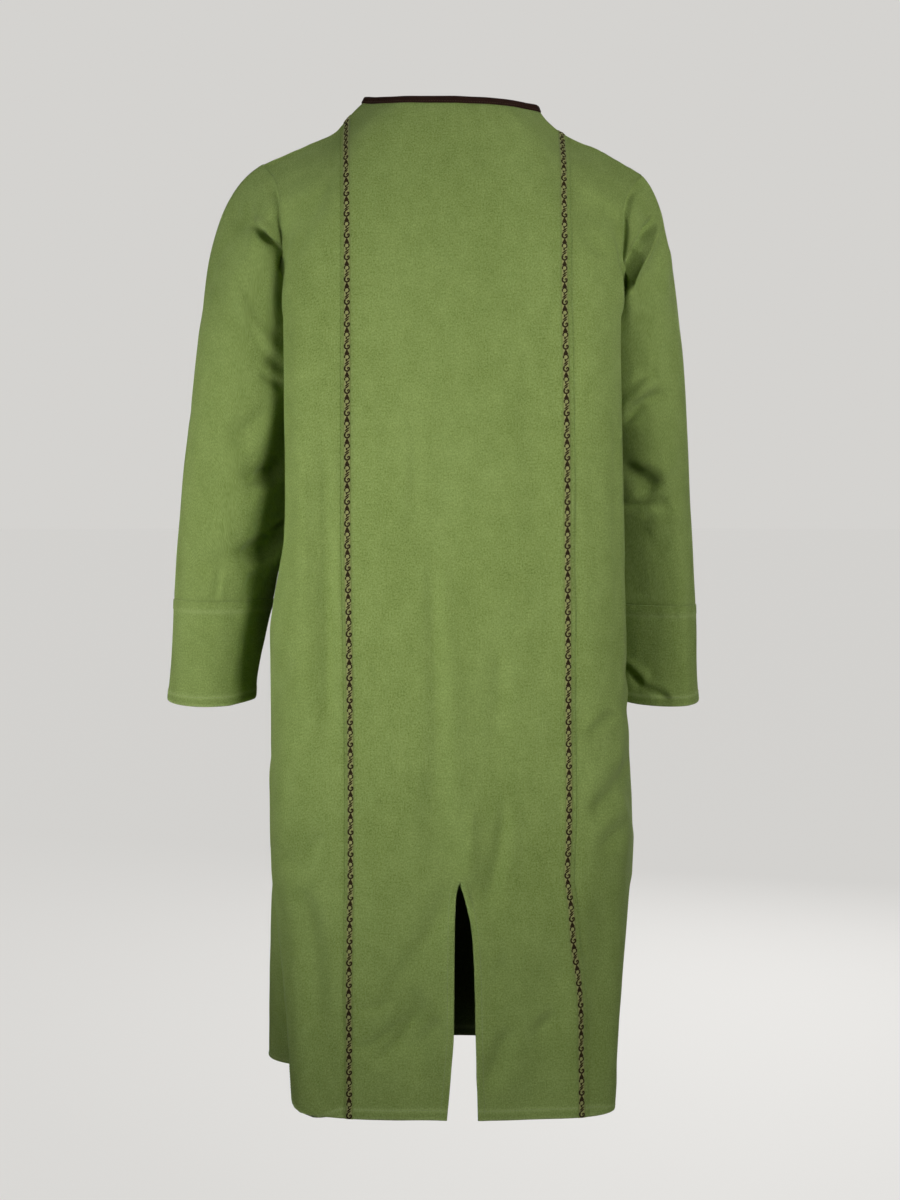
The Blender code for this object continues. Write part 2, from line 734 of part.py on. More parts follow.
# Sleeves: rings from the armhole down to the cuff seam, then the cuff
def ringPoint(side, angle, z, grow=0.0):
    sign = 1 if side == "left" else -1
    out, inn = smoothAt(sleeveTable, side + "Out", z), smoothAt(sleeveTable, side + "In", z)
    depth = smoothAt(sleeveTable, side + "Deep", z) + grow
    wide = (out - inn) / 2 + grow
    x = sign * ((out + inn) / 2 + wide * math.cos(angle))
    y = smoothAt(sleeveTable, side + "Y", z) + depth * math.sin(angle)
    if z < cuffTop:
        tilt, end = (cuffTiltLeft, cuffEndLeft) if side == "left" else (cuffTiltRight, cuffEndRight)
        z -= tilt * math.sin(angle) * (cuffTop - z) / (cuffTop - end)
    return Vector((x, y, z))


def pressed(side, angle, point):
    # Sleeve point moved in where a fold lies on the back of the arm
    folds = leftSleeveFolds if side == "left" else rightSleeveFolds
    sign = 1 if side == "left" else -1
    facing = eased(math.sin(angle) * 1.5)
    depth = foldDepth(folds, point.x, point.z) * facing
    return point - Vector((sign * math.cos(angle), math.sin(angle), 0.0)) * depth


def sleevePoints(side):
    full = capFullLeft if side == "left" else capFullRight
    rows = []
    for share in capShares:
        row = []
        for stop in loops[side]:
            low = ringPoint(side, stop["angle"], sleeveTop)
            start = stop["first"]
            if share == 0.0:
                row.append(start.copy())
                continue
            reach = (low - start).length
            ends = (low - ringPoint(side, stop["angle"], armHeights[1])).normalized()
            t = share
            point = (start * ((1 + 2 * t) * (1 - t) ** 2) + low * (t * t * (3 - 2 * t))
                     + stop["leave"] * (reach * full * t * (1 - t) ** 2)
                     + ends * (reach * t * t * (1 - t)))
            row.append(pressed(side, stop["angle"], point))
        rows.append(row)
    for z in armHeights:
        rows.append([pressed(side, stop["angle"], ringPoint(side, stop["angle"], z)) for stop in loops[side]])
    return rows


def wallFromRings(name, side, rows, firstRim, material):
    sign = 1 if side == "left" else -1
    count = len(rows[0])
    outer, inner = {}, {}
    for r, row in enumerate(rows):
        above, below = rows[max(r - 1, 0)], rows[min(r + 1, len(rows) - 1)]
        for k, point in enumerate(row):
            around = row[(k + 1) % count] - row[k - 1]
            down = below[k] - above[k]
            normal = (down.cross(around) * sign).normalized()
            outer[(r, k)] = point
            inner[(r, k)] = point - normal * cloth
            if r == 0 and firstRim:
                inner[(r, k)] = point + firstRim[k] * cloth
    makeWall(name, outer, inner, gridCells(len(rows), count, True), material)


for sleeveSide in ("left", "right"):
    wallFromRings("sleeve_" + sleeveSide, sleeveSide, sleevePoints(sleeveSide),
                  [stop["sleeveRim"] for stop in loops[sleeveSide]], cottonLook)
    cuffRows = [[ringPoint(sleeveSide, stop["angle"], z, cuffRidge if z == cuffHeights[1] else 0.0)
                 for stop in loops[sleeveSide]]
                for z in cuffHeights + (cuffEndLeft if sleeveSide == "left" else cuffEndRight,)]
    wallFromRings("cuff_" + sleeveSide, sleeveSide, cuffRows, None, cottonLook)
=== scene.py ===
import math

import bmesh
import bpy
import numpy as np
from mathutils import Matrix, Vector


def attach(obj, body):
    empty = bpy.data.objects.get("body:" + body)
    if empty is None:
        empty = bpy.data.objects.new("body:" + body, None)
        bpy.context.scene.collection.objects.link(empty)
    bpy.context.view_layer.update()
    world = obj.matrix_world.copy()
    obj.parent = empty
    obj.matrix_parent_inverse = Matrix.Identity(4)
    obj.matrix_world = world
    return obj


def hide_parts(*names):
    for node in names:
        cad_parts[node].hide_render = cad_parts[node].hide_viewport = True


# A long moss-green cotton tunic, filled out as it is worn.
# Metres, +Z up, the back towards +Y and the wearer's left towards +X.

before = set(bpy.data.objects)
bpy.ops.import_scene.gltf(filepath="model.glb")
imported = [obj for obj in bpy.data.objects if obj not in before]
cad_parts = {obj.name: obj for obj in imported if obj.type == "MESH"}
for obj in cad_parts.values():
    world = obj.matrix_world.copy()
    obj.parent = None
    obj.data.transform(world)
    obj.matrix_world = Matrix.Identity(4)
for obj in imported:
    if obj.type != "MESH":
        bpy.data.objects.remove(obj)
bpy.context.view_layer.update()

signs = {"left": 1.0, "right": -1.0}


# Tables and smooth curves through them

def columnsOf(names, *rows):
    return dict(zip(names.split(), np.array(rows, float).T))


def smoothAt(curve, name, key):
    # smooth curve through a table's rows that never swings past them
    xs, ys = next(iter(curve.values())), curve[name]
    rises = np.diff(ys) / np.diff(xs)
    same = rises[:-1] * rises[1:] > 0
    middle = np.where(same, 2 * rises[:-1] * rises[1:] / np.where(same, rises[:-1] + rises[1:], 1.0), 0.0)
    slopes = np.concatenate((rises[:1], middle, rises[-1:]))
    key = np.clip(key, xs[0], xs[-1])
    i = np.clip(np.searchsorted(xs, key, side="right") - 1, 0, len(xs) - 2)
    step = xs[i + 1] - xs[i]
    t = (key - xs[i]) / step
    return ((1 + 2 * t) * (1 - t) ** 2 * ys[i] + t * (1 - t) ** 2 * step * slopes[i]
            + t * t * (3 - 2 * t) * ys[i + 1] + t * t * (t - 1) * step * slopes[i + 1])


def eased(t):
    t = np.clip(t, 0.0, 1.0)
    return t * t * (3 - 2 * t)


def ramp(value, start, over):
    # from 0 at the start to 1, eased over a width; downwards where the width is negative
    return eased((value - start) / over)


def unit(vectors):
    return vectors / np.maximum(np.linalg.norm(vectors, axis=-1, keepdims=True), 1e-9)


def bell(distance, width):
    return np.exp(-(distance / width) ** 2)


def between(start, end, step):
    # even steps from start, which is left out, to end
    count = max(int(round(abs(end - start) / step)), 1)
    return start + (end - start) * np.arange(1, count + 1) / count


def lengthAlong(line, closed=False):
    # running length at each point of a line, and all the way round where it closes
    steps = np.diff(line, axis=0, append=line[:1]) if closed else np.diff(line, axis=0)
    return np.concatenate(([0.0], np.cumsum(np.linalg.norm(steps, axis=1))))


# The body's form: s runs from -1 to 1, right to left, and face 1 is the back and -1 the front

body = {
    "underarm": -0.255, "slitTop": -0.912, "backHem": -1.190, "frontHem": -1.177,
    "backGape": 0.092, "frontGape": 0.090,  # how far from the middle the slits' edges stand at the hem
    "frontFlareLeft": 0.0120, "frontFlareRight": -0.0155,
    "frontTurn": 0.50, "turnRate": 2.6, "frontInside": 0.0034,
    "backSquareness": 2.8, "frontSquareness": 2.4, "tuckSpan": 0.055,
    "backCornerLeft": 0.034, "backCornerRight": 0.012, "frontCorner": 0.008,
    "shoulderLeft": 0.2295, "shoulderRight": 0.2230, "ridgeTop": 0.043, "frontArmholeInset": 0.009,
    "neckLeft": 0.1106, "neckRight": 0.1017, "neckFront": 0.085,
    "seamBesideLeft": 0.0066, "seamBesideRight": 0.0088, "seamGap": 0.0001,
    "centreHalf": 0.134, "sideWide": 0.160, "frontHalf": 0.335, "upperTall": 0.30,  # to space the grids
    "sideMap": 0.14,  # where the side panels begin on the cloth's own map
}
bodyTable = columnsOf(
    "height left right back front leftTuck rightTuck leftArm rightArm",
    (-1.190, 0.1930, 0.1894, 0.150, 0.170, 0.000, 0.000, -0.015, -0.055),
    (-1.110, 0.2000, 0.1944, 0.148, 0.165, 0.000, 0.000, -0.015, -0.055),
    (-1.050, 0.2068, 0.1999, 0.146, 0.160, 0.000, 0.000, -0.015, -0.055),
    (-0.972, 0.2168, 0.2085, 0.142, 0.153, 0.000, 0.000, -0.015, -0.055),
    (-0.912, 0.2245, 0.2143, 0.139, 0.147, 0.000, 0.000, -0.015, -0.055),
    (-0.857, 0.2255, 0.2167, 0.136, 0.142, 0.000, 0.000, -0.015, -0.055),
    (-0.800, 0.2250, 0.2128, 0.133, 0.138, 0.000, 0.004, -0.015, -0.055),
    (-0.750, 0.2230, 0.2100, 0.130, 0.136, 0.000, 0.010, -0.018, -0.055),
    (-0.665, 0.2235, 0.2068, 0.126, 0.133, 0.000, 0.020, -0.018, -0.052),
    (-0.630, 0.2240, 0.2050, 0.124, 0.131, 0.000, 0.028, -0.015, -0.048),
    (-0.591, 0.2185, 0.2030, 0.122, 0.130, 0.004, 0.036, -0.010, -0.045),
    (-0.555, 0.2110, 0.2022, 0.120, 0.129, 0.018, 0.043, -0.007, -0.040),
    (-0.510, 0.2040, 0.2013, 0.119, 0.128, 0.036, 0.048, -0.005, -0.034),
    (-0.430, 0.2023, 0.1990, 0.117, 0.127, 0.050, 0.054, -0.003, -0.024),
    (-0.340, 0.2023, 0.1964, 0.116, 0.127, 0.053, 0.056, -0.008, -0.018),
    (-0.290, 0.2023, 0.1952, 0.115, 0.126, 0.055, 0.057, -0.009, -0.016),
    (-0.255, 0.2023, 0.1952, 0.114, 0.126, 0.048, 0.050, -0.010, -0.014),
)
middleLine = columnsOf(
    "height back front",
    (-0.255, 0.114, 0.126), (-0.180, 0.111, 0.123), (-0.120, 0.100, 0.113),
    (-0.060, 0.079, 0.087), (-0.005, 0.055, 0.052), (0.043, 0.000, 0.000),
)
neckTable = columnsOf(
    "across height",
    (-0.1017, -0.0076), (-0.087, -0.0090), (-0.060, -0.0078), (-0.030, -0.0062), (0.000, -0.0053),
    (0.040, -0.0048), (0.075, -0.0038), (0.095, -0.0020), (0.1106, 0.0020),
)
ridgeTable = columnsOf(
    "across left right",
    (0.000, 0.0430, 0.0430), (0.050, 0.0380, 0.0330), (0.090, 0.0185, 0.0060), (0.110, 0.0025, -0.0185),
    (0.125, -0.0125, -0.0308), (0.145, -0.0335, -0.0418), (0.170, -0.0443, -0.0520),
    (0.195, -0.0545, -0.0662), (0.230, -0.0697, -0.0868),
)
armholeTable = columnsOf(
    "share leftX leftZ rightX rightZ backY frontY",
    (0.12, 0.1855, -0.248, 0.1790, -0.248, 0.016, -0.026),
    (0.30, 0.1965, -0.221, 0.1895, -0.223, 0.038, -0.050),
    (0.50, 0.2025, -0.174, 0.1950, -0.180, 0.057, -0.060),
    (0.70, 0.2045, -0.130, 0.1965, -0.138, 0.057, -0.054),
    (0.86, 0.2110, -0.096, 0.2035, -0.106, 0.035, -0.034),
)
braidTable = columnsOf(
    "height left right",
    (-1.190, 0.1237, 0.1477), (-1.070, 0.1237, 0.1471), (-1.030, 0.1235, 0.1443),
    (-0.990, 0.1230, 0.1384), (-0.940, 0.1224, 0.1342), (-0.905, 0.1218, 0.1302),
    (-0.850, 0.1217, 0.1319), (-0.710, 0.1225, 0.1310), (-0.450, 0.1249, 0.1291),
    (-0.200, 0.1249, 0.1259), (0.000, 0.1290, 0.1277),
)
slitTable = columnsOf(
    "height left right",
    (-1.190, 0.0097, -0.0264), (-1.130, 0.0043, -0.0248), (-1.090, 0.0015, -0.0236),
    (-1.030, 0.0011, -0.0224), (-0.973, 0.0006, -0.0194), (-0.934, -0.0003, -0.0118),
    (-0.912, -0.0040, -0.0048),
)
backMiddle = columnsOf("height across", (-0.912, -0.0044), (-0.600, -0.0030), (0.050, 0.0000))
backFolds = (  # large soft folds: x1, z1, x2, z2, width, depth
    (0.150, -0.440, 0.152, -0.730, 0.018, 0.0045),
    (-0.158, -0.400, -0.168, -0.640, 0.016, 0.0030),
    (0.060, -1.020, 0.030, -1.190, 0.030, 0.0050),
    (-0.110, -1.000, -0.100, -1.190, 0.028, 0.0050),
    (0.165, -0.960, 0.150, -1.190, 0.020, 0.0040),
)


def foldDepth(folds, x, z):
    total = np.zeros(np.shape(x))
    for x1, z1, x2, z2, width, depth in folds:
        length = math.hypot(x2 - x1, z2 - z1)
        along = ((x - x1) * (x2 - x1) + (z - z1) * (z2 - z1)) / length
        away = ((x - x1) * (z2 - z1) - (z - z1) * (x2 - x1)) / length
        fade = eased(along / (0.35 * length) + 0.5) * eased((length - along) / (0.35 * length) + 0.5)
        total += depth * fade * bell(away, width)
    return total


def openedBy(z):
    # how far down the side slit a height lies, 0 at its top and 1 at the hem
    return np.clip((body["slitTop"] - z) / (body["slitTop"] - body["backHem"]), 0.0, 1.0)


def quarter(q, squareness, turn=0.0):
    # a quarter of a rounded section, q from 0 in the middle to 1 at the side
    a, b = q ** (squareness / 2), (1 - q) ** (squareness / 2)
    angle = math.pi / 2 * a / (a + b) * (1 + turn)
    inward = np.sign(np.cos(angle)) * np.abs(np.cos(angle)) ** (2 / squareness)
    return np.sin(angle) ** (2 / squareness), inward


def sectionAt(side, z):
    # half the width whose outline, tucked in beside the arm, is as wide as it looks from behind
    seen, tuck, arm = (smoothAt(bodyTable, name, z) for name in (side, side + "Tuck", side + "Arm"))
    depth, edge = smoothAt(bodyTable, "back", z), body["backGape"] * openedBy(z)
    across, inward = quarter(np.arange(12, 61) / 60, body["backSquareness"])
    y = edge[..., None] + (depth - edge)[..., None] * inward
    widths = seen[..., None] / across + tuck[..., None] * bell(y - arm[..., None], body["tuckSpan"])
    return widths.min(axis=-1), tuck, arm


def lowerPoints(face, s, z):
    # body below the underarm
    heights, back = np.unique(z, return_inverse=True)
    back = back.reshape(z.shape)
    opened = openedBy(z)
    found = {}
    for side in signs:
        width, tuck, arm = sectionAt(side, heights)
        if face < 0:
            top = sectionAt(side, np.array([body["slitTop"]]))[0][0]
            flare = body["frontFlare" + side.capitalize()]
            width = np.where(heights < body["slitTop"], top + flare * openedBy(heights), width)
        found[side] = [values[back] for values in (width, tuck, arm)]
    width, tuck, arm = (np.where(s >= 0, left, right) for left, right in zip(found["left"], found["right"]))
    name = "back" if face > 0 else "front"
    turn = 0.0 if face > 0 else body["frontTurn"] * (1 - np.exp(-body["turnRate"] * opened))
    depth, edge = face * smoothAt(bodyTable, name, z), face * body[name + "Gape"] * opened
    across, inward = quarter(np.abs(s), body[name + "Squareness"], turn)
    y = edge + (depth - edge) * inward
    x = np.sign(s) * across * (width - tuck * bell(y - arm, body["tuckSpan"]))
    if face > 0:
        y = y - foldDepth(backFolds, x, z) * inward
    else:  # the front's edges pass inside the back's just below the top of the side slits
        atEdge = eased((np.abs(s) - 0.8) / 0.15)
        justBelow = eased(opened / 0.05) * (1 - eased((opened - 0.15) / 0.25))
        x = x - np.sign(s) * body["frontInside"] * atEdge * justBelow
    return np.stack((x, y, z), axis=-1)


def ridgePoints(s):
    # the shoulder line
    across = np.abs(s) * np.where(s >= 0, body["shoulderLeft"], body["shoulderRight"])
    height = np.where(s >= 0, smoothAt(ridgeTable, "left", across), smoothAt(ridgeTable, "right", across))
    return np.stack((np.sign(s) * across, np.zeros(np.shape(s)), height), axis=-1)


def armholePoints(face, side, t):
    sign = signs[side]
    low = lowerPoints(face, np.array([sign]), np.array([body["underarm"]]))[0]
    tip = ridgePoints(np.array([sign]))[0]
    inset = 0.0 if face > 0 else body["frontArmholeInset"]
    shares = armholeTable["share"]
    inner = (armholeTable[side + "X"] - inset * np.sin(math.pi * shares),
             armholeTable["backY" if face > 0 else "frontY"], armholeTable[side + "Z"])
    low, tip = low * (sign, 1, 1), tip * (sign, 1, 1)
    curve = {"share": np.concatenate(([0.0], shares, [1.0]))}
    for k, name in enumerate("xyz"):
        curve[name] = np.concatenate(([low[k]], inner[k], [tip[k]]))
    return np.stack([smoothAt(curve, name, t) for name in "xyz"], axis=-1) * (sign, 1, 1)


def upperPoints(face, s, t):
    # body above the underarm, t from 0 there to 1 on the shoulder line
    low, top = body["underarm"], body["ridgeTop"]
    high = low + (top - low) * t
    depth = face * smoothAt(middleLine, "back" if face > 0 else "front", high)
    up = eased(t)[..., None]
    near = (np.abs(s) ** 4 * (5 - 4 * np.abs(s)))[..., None]

    def straight(s):
        # the smooth way from the underarm to the shoulder line, before the middle and the armhole bend it
        return lowerPoints(face, s, np.full(np.shape(s), low)) * (1 - up) + ridgePoints(s) * up

    centre = np.zeros(np.shape(s))
    point = straight(s) + (1 - near) * (np.stack((centre, depth, high), axis=-1) - straight(centre))
    onLeft = (s >= 0)[..., None]
    for side, here in (("left", onLeft), ("right", ~onLeft)):
        edge = armholePoints(face, side, t) - straight(centre + signs[side])
        point += near * np.where(here, edge, 0.0)
    return point


def bodyPoints(face, s, level):
    # level is the height from the underarm where it is negative, and the share up to the shoulder above it
    s, level = np.broadcast_arrays(np.clip(s, -1.0, 1.0), level)
    points = np.empty(s.shape + (3,))
    below = level < 0
    points[below] = lowerPoints(face, s[below], body["underarm"] + level[below])
    points[~below] = upperPoints(face, s[~below], np.minimum(level[~below], 1.0))
    return points


def bodyNormals(face, s, level):
    step = 0.004
    across = bodyPoints(face, s + step, level) - bodyPoints(face, s - step, level)
    upward = bodyPoints(face, s, np.minimum(level + step, 1.0)) - bodyPoints(face, s, level - step)
    return unit(np.cross(upward, across) * face)


def solved(test, low, high, steps=34):
    # halving search, for arrays: where test turns from true to false
    for _ in range(steps):
        middle = (low + high) / 2
        inside = test(middle)
        low, high = np.where(inside, middle, low), np.where(inside, high, middle)
    return (low + high) / 2


def shareAt(face, x, level):
    # the s at which a row passes x, on the flatter part of the panel
    sign = np.where(x >= 0, 1.0, -1.0)
    low, high = np.zeros(np.shape(x)), np.full(np.shape(x), 0.85)
    return sign * solved(lambda q: np.abs(bodyPoints(face, sign * q, level)[..., 0]) < np.abs(x), low, high)


def movedShare(face, s, level, distance):
    # s moved along its row by a distance, towards the left where that is positive
    step = 0.01
    reach = np.linalg.norm(bodyPoints(face, s + step, level) - bodyPoints(face, s - step, level), axis=-1)
    return s + distance * (np.minimum(s + step, 1.0) - np.maximum(s - step, -1.0)) / reach


def neckShare(face, s):
    # share up to the shoulder line where the neck opening cuts the body
    wide = np.where(s >= 0, body["neckLeft"], body["neckRight"])

    def below(t):
        point = bodyPoints(face, s, t)
        if face > 0:
            return point[..., 2] < smoothAt(neckTable, "height", point[..., 0])
        return (point[..., 0] / wide) ** 2 + (point[..., 1] / body["neckFront"]) ** 2 > 1

    found = solved(below, np.full(np.shape(s), 0.3), np.ones(np.shape(s)))
    return np.where(np.abs(ridgePoints(s)[..., 0]) >= wide - 0.0001, 1.0, found)


# Creases: each a soft trough from (a1, b1) to (a2, b2), or a ridge where its depth is negative,
# bowed to one side, with a lip beside it

creaseNames = "a1 b1 a2 b2 bow width depth lip"
backCreases = columnsOf(
    creaseNames,  # a is x and b is z
    (0.0467, -0.386, 0.0525, -0.503, 0.003, 0.0080, 0.0012, 0.2),
    (0.0270, -0.538, 0.0210, -0.819, 0.002, 0.0100, 0.0020, 0.5),
    (-0.0520, -0.640, -0.0460, -0.749, 0.002, 0.0100, 0.0012, 0.2),
    (-0.0577, -0.825, -0.0368, -0.936, 0.003, 0.0085, 0.0026, 0.3),
    (-0.0180, -0.830, -0.0150, -0.915, 0.000, 0.0110, -0.0026, 0.0),
    (0.0290, -0.790, 0.0120, -0.895, 0.000, 0.0170, 0.0024, 0.2),
    (0.0060, -0.918, 0.0734, -1.035, 0.006, 0.0125, 0.0020, 0.4),
    (-0.0200, -0.945, -0.0480, -1.010, 0.004, 0.0120, -0.0022, 0.0),
    (0.0408, -1.060, 0.0990, -1.123, 0.006, 0.0100, 0.0030, 0.5),
    (0.0641, -1.075, 0.1160, -1.110, 0.004, 0.0065, 0.0018, 0.5),
    (0.0700, -1.050, 0.1140, -1.062, 0.003, 0.0050, 0.0013, 0.4),
    (0.0177, -1.075, 0.0580, -1.112, 0.004, 0.0140, 0.0036, 0.3),
    (0.0500, -1.040, 0.0560, -1.140, 0.004, 0.0210, 0.0030, 0.2),
    (-0.0287, -1.061, -0.1285, -1.052, 0.001, 0.0020, -0.0004, 0.0),
    (-0.0600, -1.088, -0.0360, -1.150, 0.003, 0.0120, 0.0030, 0.3),
    (-0.0950, -1.090, -0.1230, -1.072, 0.003, 0.0090, 0.0018, 0.4),
    (-0.1660, -0.945, -0.1640, -1.135, 0.003, 0.0130, 0.0032, 0.4),
    (0.1047, -0.937, 0.1290, -0.931, 0.001, 0.0040, 0.0012, 0.4),
    (-0.1563, -0.743, -0.1818, -0.7195, 0.002, 0.0065, 0.0020, 0.4),
    (-0.1620, -0.838, -0.2140, -0.784, 0.004, 0.0130, 0.0042, 0.3),
    (-0.1700, -0.880, -0.2050, -0.850, 0.004, 0.0110, 0.0028, 0.3),
    (0.1500, -0.415, 0.1485, -0.752, 0.001, 0.0078, 0.0034, 0.2),
    (0.1740, -0.410, 0.1750, -0.620, 0.001, 0.0085, -0.0020, 0.0),
    (0.1630, -0.440, 0.1640, -0.560, 0.001, 0.0040, 0.0008, 0.2),
    (-0.1818, -0.370, -0.1840, -0.690, 0.001, 0.0065, 0.0014, 0.3),
    (0.1900, -0.655, 0.2150, -0.700, 0.003, 0.0100, 0.0024, 0.3),
    (0.1560, -0.860, 0.1980, -0.905, 0.004, 0.0150, 0.0034, 0.3),
    (0.1750, -0.930, 0.1700, -1.080, 0.004, 0.0140, 0.0030, 0.3),
    (0.1820, -0.190, 0.1500, -0.120, 0.005, 0.0120, 0.0014, 0.3),
    (-0.1750, -0.190, -0.1450, -0.125, 0.005, 0.0120, 0.0014, 0.3),
    (0.0900, -0.300, 0.0760, -0.420, 0.003, 0.0150, 0.0010, 0.0),
    (-0.0800, -0.330, -0.0950, -0.520, 0.003, 0.0160, 0.0012, 0.0),
)
frontCreases = columnsOf(
    creaseNames,  # a is x and b is z
    (0.1800, -0.265, 0.1150, -0.330, 0.008, 0.0110, 0.0036, 0.5),
    (0.1770, -0.300, 0.1250, -0.400, 0.007, 0.0120, 0.0026, 0.4),
    (-0.1720, -0.265, -0.1120, -0.325, -0.008, 0.0110, 0.0036, 0.5),
    (-0.1700, -0.305, -0.1290, -0.415, -0.006, 0.0130, 0.0028, 0.4),
    (0.0420, -0.380, 0.0500, -0.560, 0.003, 0.0110, 0.0016, 0.3),
    (-0.0560, -0.430, -0.0500, -0.660, 0.003, 0.0120, 0.0018, 0.3),
    (0.1250, -0.450, 0.1300, -0.760, 0.002, 0.0100, 0.0034, 0.3),
    (-0.1380, -0.480, -0.1450, -0.740, 0.002, 0.0100, 0.0030, 0.3),
    (0.0100, -0.700, 0.0150, -0.960, 0.003, 0.0160, 0.0026, 0.3),
    (0.0850, -0.860, 0.0980, -1.150, 0.004, 0.0170, 0.0050, 0.3),
    (-0.0750, -0.830, -0.0900, -1.150, 0.004, 0.0170, 0.0046, 0.3),
    (0.1500, -0.930, 0.1620, -1.150, 0.003, 0.0130, 0.0036, 0.3),
    (-0.1500, -0.950, -0.1560, -1.150, 0.003, 0.0130, 0.0034, 0.3),
    (0.0000, -1.020, -0.0080, -1.170, 0.003, 0.0140, -0.0030, 0.0),
    (0.0200, -1.060, 0.0560, -1.110, 0.004, 0.0090, 0.0020, 0.4),
    (0.0600, -0.110, 0.1250, -0.190, 0.006, 0.0130, 0.0018, 0.3),
    (-0.0600, -0.115, -0.1200, -0.195, -0.006, 0.0130, 0.0018, 0.3),
    (-0.0200, -0.995, 0.0700, -1.003, 0.001, 0.0020, -0.0004, 0.0),
)
sideCreases = columnsOf(
    creaseNames,  # a is y and b is z, on the left side, and used again for the right one
    (-0.0900, -0.620, 0.0050, -0.650, 0.010, 0.0110, 0.0022, 0.5),
    (-0.0850, -0.665, 0.0100, -0.700, 0.008, 0.0120, 0.0020, 0.4),
    (-0.0200, -0.740, 0.0450, -0.790, 0.006, 0.0130, 0.0014, 0.4),
    (-0.0800, -0.760, -0.0200, -0.830, 0.006, 0.0130, 0.0024, 0.4),
    (-0.0850, -0.420, -0.0500, -0.540, 0.004, 0.0120, 0.0024, 0.3),
    (0.0500, -0.330, 0.0350, -0.480, 0.003, 0.0110, 0.0018, 0.3),
    (-0.0100, -0.840, -0.0150, -0.905, 0.000, 0.0120, -0.0026, 0.0),
)
sleeveCreases = {  # on the sleeves' backs: a is x and b is z
    "left": columnsOf(
        creaseNames,
        (0.2370, -0.144, 0.1990, -0.198, 0.003, 0.0048, 0.0140, 0.95),
        (0.2440, -0.120, 0.2440, -0.150, 0.000, 0.0080, 0.0030, 0.3),
        (0.2560, -0.222, 0.2116, -0.303, -0.006, 0.0085, -0.0045, 0.0),
        (0.2420, -0.262, 0.2030, -0.316, -0.005, 0.0070, 0.0050, 0.3),
        (0.2300, -0.322, 0.2020, -0.338, 0.002, 0.0050, 0.0046, 0.6),
        (0.2060, -0.418, 0.2440, -0.449, 0.004, 0.0080, 0.0085, 0.6),
        (0.2030, -0.500, 0.2560, -0.540, 0.005, 0.0090, 0.0110, 0.7),
        (0.2805, -0.556, 0.2870, -0.587, 0.000, 0.0042, 0.0022, 0.5),
        (0.2440, -0.560, 0.2530, -0.588, 0.000, 0.0046, 0.0036, 0.5),
        (0.3020, -0.565, 0.3070, -0.588, 0.000, 0.0038, 0.0014, 0.4),
        (0.2700, -0.120, 0.2480, -0.190, 0.006, 0.0110, 0.0040, 0.3),
        (0.2950, -0.200, 0.2700, -0.290, 0.006, 0.0140, 0.0024, 0.2),
        (0.2260, -0.360, 0.2620, -0.404, 0.003, 0.0100, 0.0028, 0.4),
        (0.3000, -0.440, 0.2700, -0.500, 0.004, 0.0150, 0.0022, 0.3),
    ),
    "right": columnsOf(
        creaseNames,
        (-0.2350, -0.140, -0.1905, -0.238, -0.004, 0.0058, 0.0145, 0.85),
        (-0.2520, -0.160, -0.2340, -0.225, -0.003, 0.0080, 0.0034, 0.4),
        (-0.2220, -0.155, -0.2140, -0.200, 0.000, 0.0060, -0.0030, 0.0),
        (-0.2020, -0.376, -0.2450, -0.344, 0.003, 0.0070, 0.0068, 0.7),
        (-0.2120, -0.330, -0.2400, -0.318, 0.002, 0.0070, 0.0030, 0.4),
        (-0.2020, -0.432, -0.2380, -0.463, 0.003, 0.0115, 0.0070, 0.4),
        (-0.2060, -0.480, -0.2560, -0.477, 0.001, 0.0062, 0.0036, 0.7),
        (-0.2040, -0.522, -0.2360, -0.510, 0.002, 0.0090, 0.0014, 0.3),
        (-0.2640, -0.200, -0.2520, -0.320, 0.004, 0.0120, 0.0030, 0.2),
        (-0.2580, -0.562, -0.2630, -0.588, 0.000, 0.0060, 0.0006, 0.3),
        (-0.2260, -0.562, -0.2230, -0.588, 0.000, 0.0060, 0.0005, 0.3),
        (-0.2400, -0.540, -0.2700, -0.500, 0.003, 0.0130, 0.0016, 0.2),
    ),
}
cuffCreases = {
    "left": columnsOf(
        creaseNames,
        (0.2560, -0.622, 0.2640, -0.700, 0.003, 0.0110, 0.0022, 0.3),
        (0.3100, -0.640, 0.3160, -0.710, 0.002, 0.0120, 0.0012, 0.2),
    ),
    "right": columnsOf(
        creaseNames,
        (-0.2030, -0.672, -0.2290, -0.701, 0.002, 0.0046, 0.0046, 0.9),
        (-0.2290, -0.701, -0.2620, -0.717, 0.002, 0.0042, 0.0030, 0.8),
        (-0.2750, -0.630, -0.2780, -0.705, 0.002, 0.0110, 0.0012, 0.2),
    ),
}
sleeveFrontCreases = columnsOf(
    creaseNames,  # a is the distance out from the body's middle and b is z, for both sleeves
    (0.2240, -0.150, 0.1980, -0.205, 0.003, 0.0060, 0.0060, 0.5),
    (0.2580, -0.325, 0.2080, -0.372, -0.004, 0.0080, 0.0046, 0.6),
    (0.2620, -0.365, 0.2140, -0.402, -0.004, 0.0075, 0.0042, 0.6),
    (0.2540, -0.410, 0.2180, -0.428, -0.002, 0.0070, 0.0030, 0.5),
    (0.2450, -0.540, 0.2500, -0.586, 0.000, 0.0050, 0.0016, 0.3),
    (0.2850, -0.550, 0.2800, -0.588, 0.000, 0.0045, 0.0014, 0.3),
)
sleeveOuterCreases = columnsOf(
    creaseNames,  # a is y and b is z
    (0.0300, -0.150, -0.0050, -0.260, 0.006, 0.0130, 0.0022, 0.3),
    (-0.0450, -0.340, 0.0050, -0.372, 0.004, 0.0090, 0.0014, 0.4),
    (-0.0500, -0.385, -0.0050, -0.405, 0.004, 0.0090, 0.0012, 0.4),
    (-0.0200, -0.480, -0.0350, -0.570, 0.003, 0.0110, 0.0018, 0.3),
)
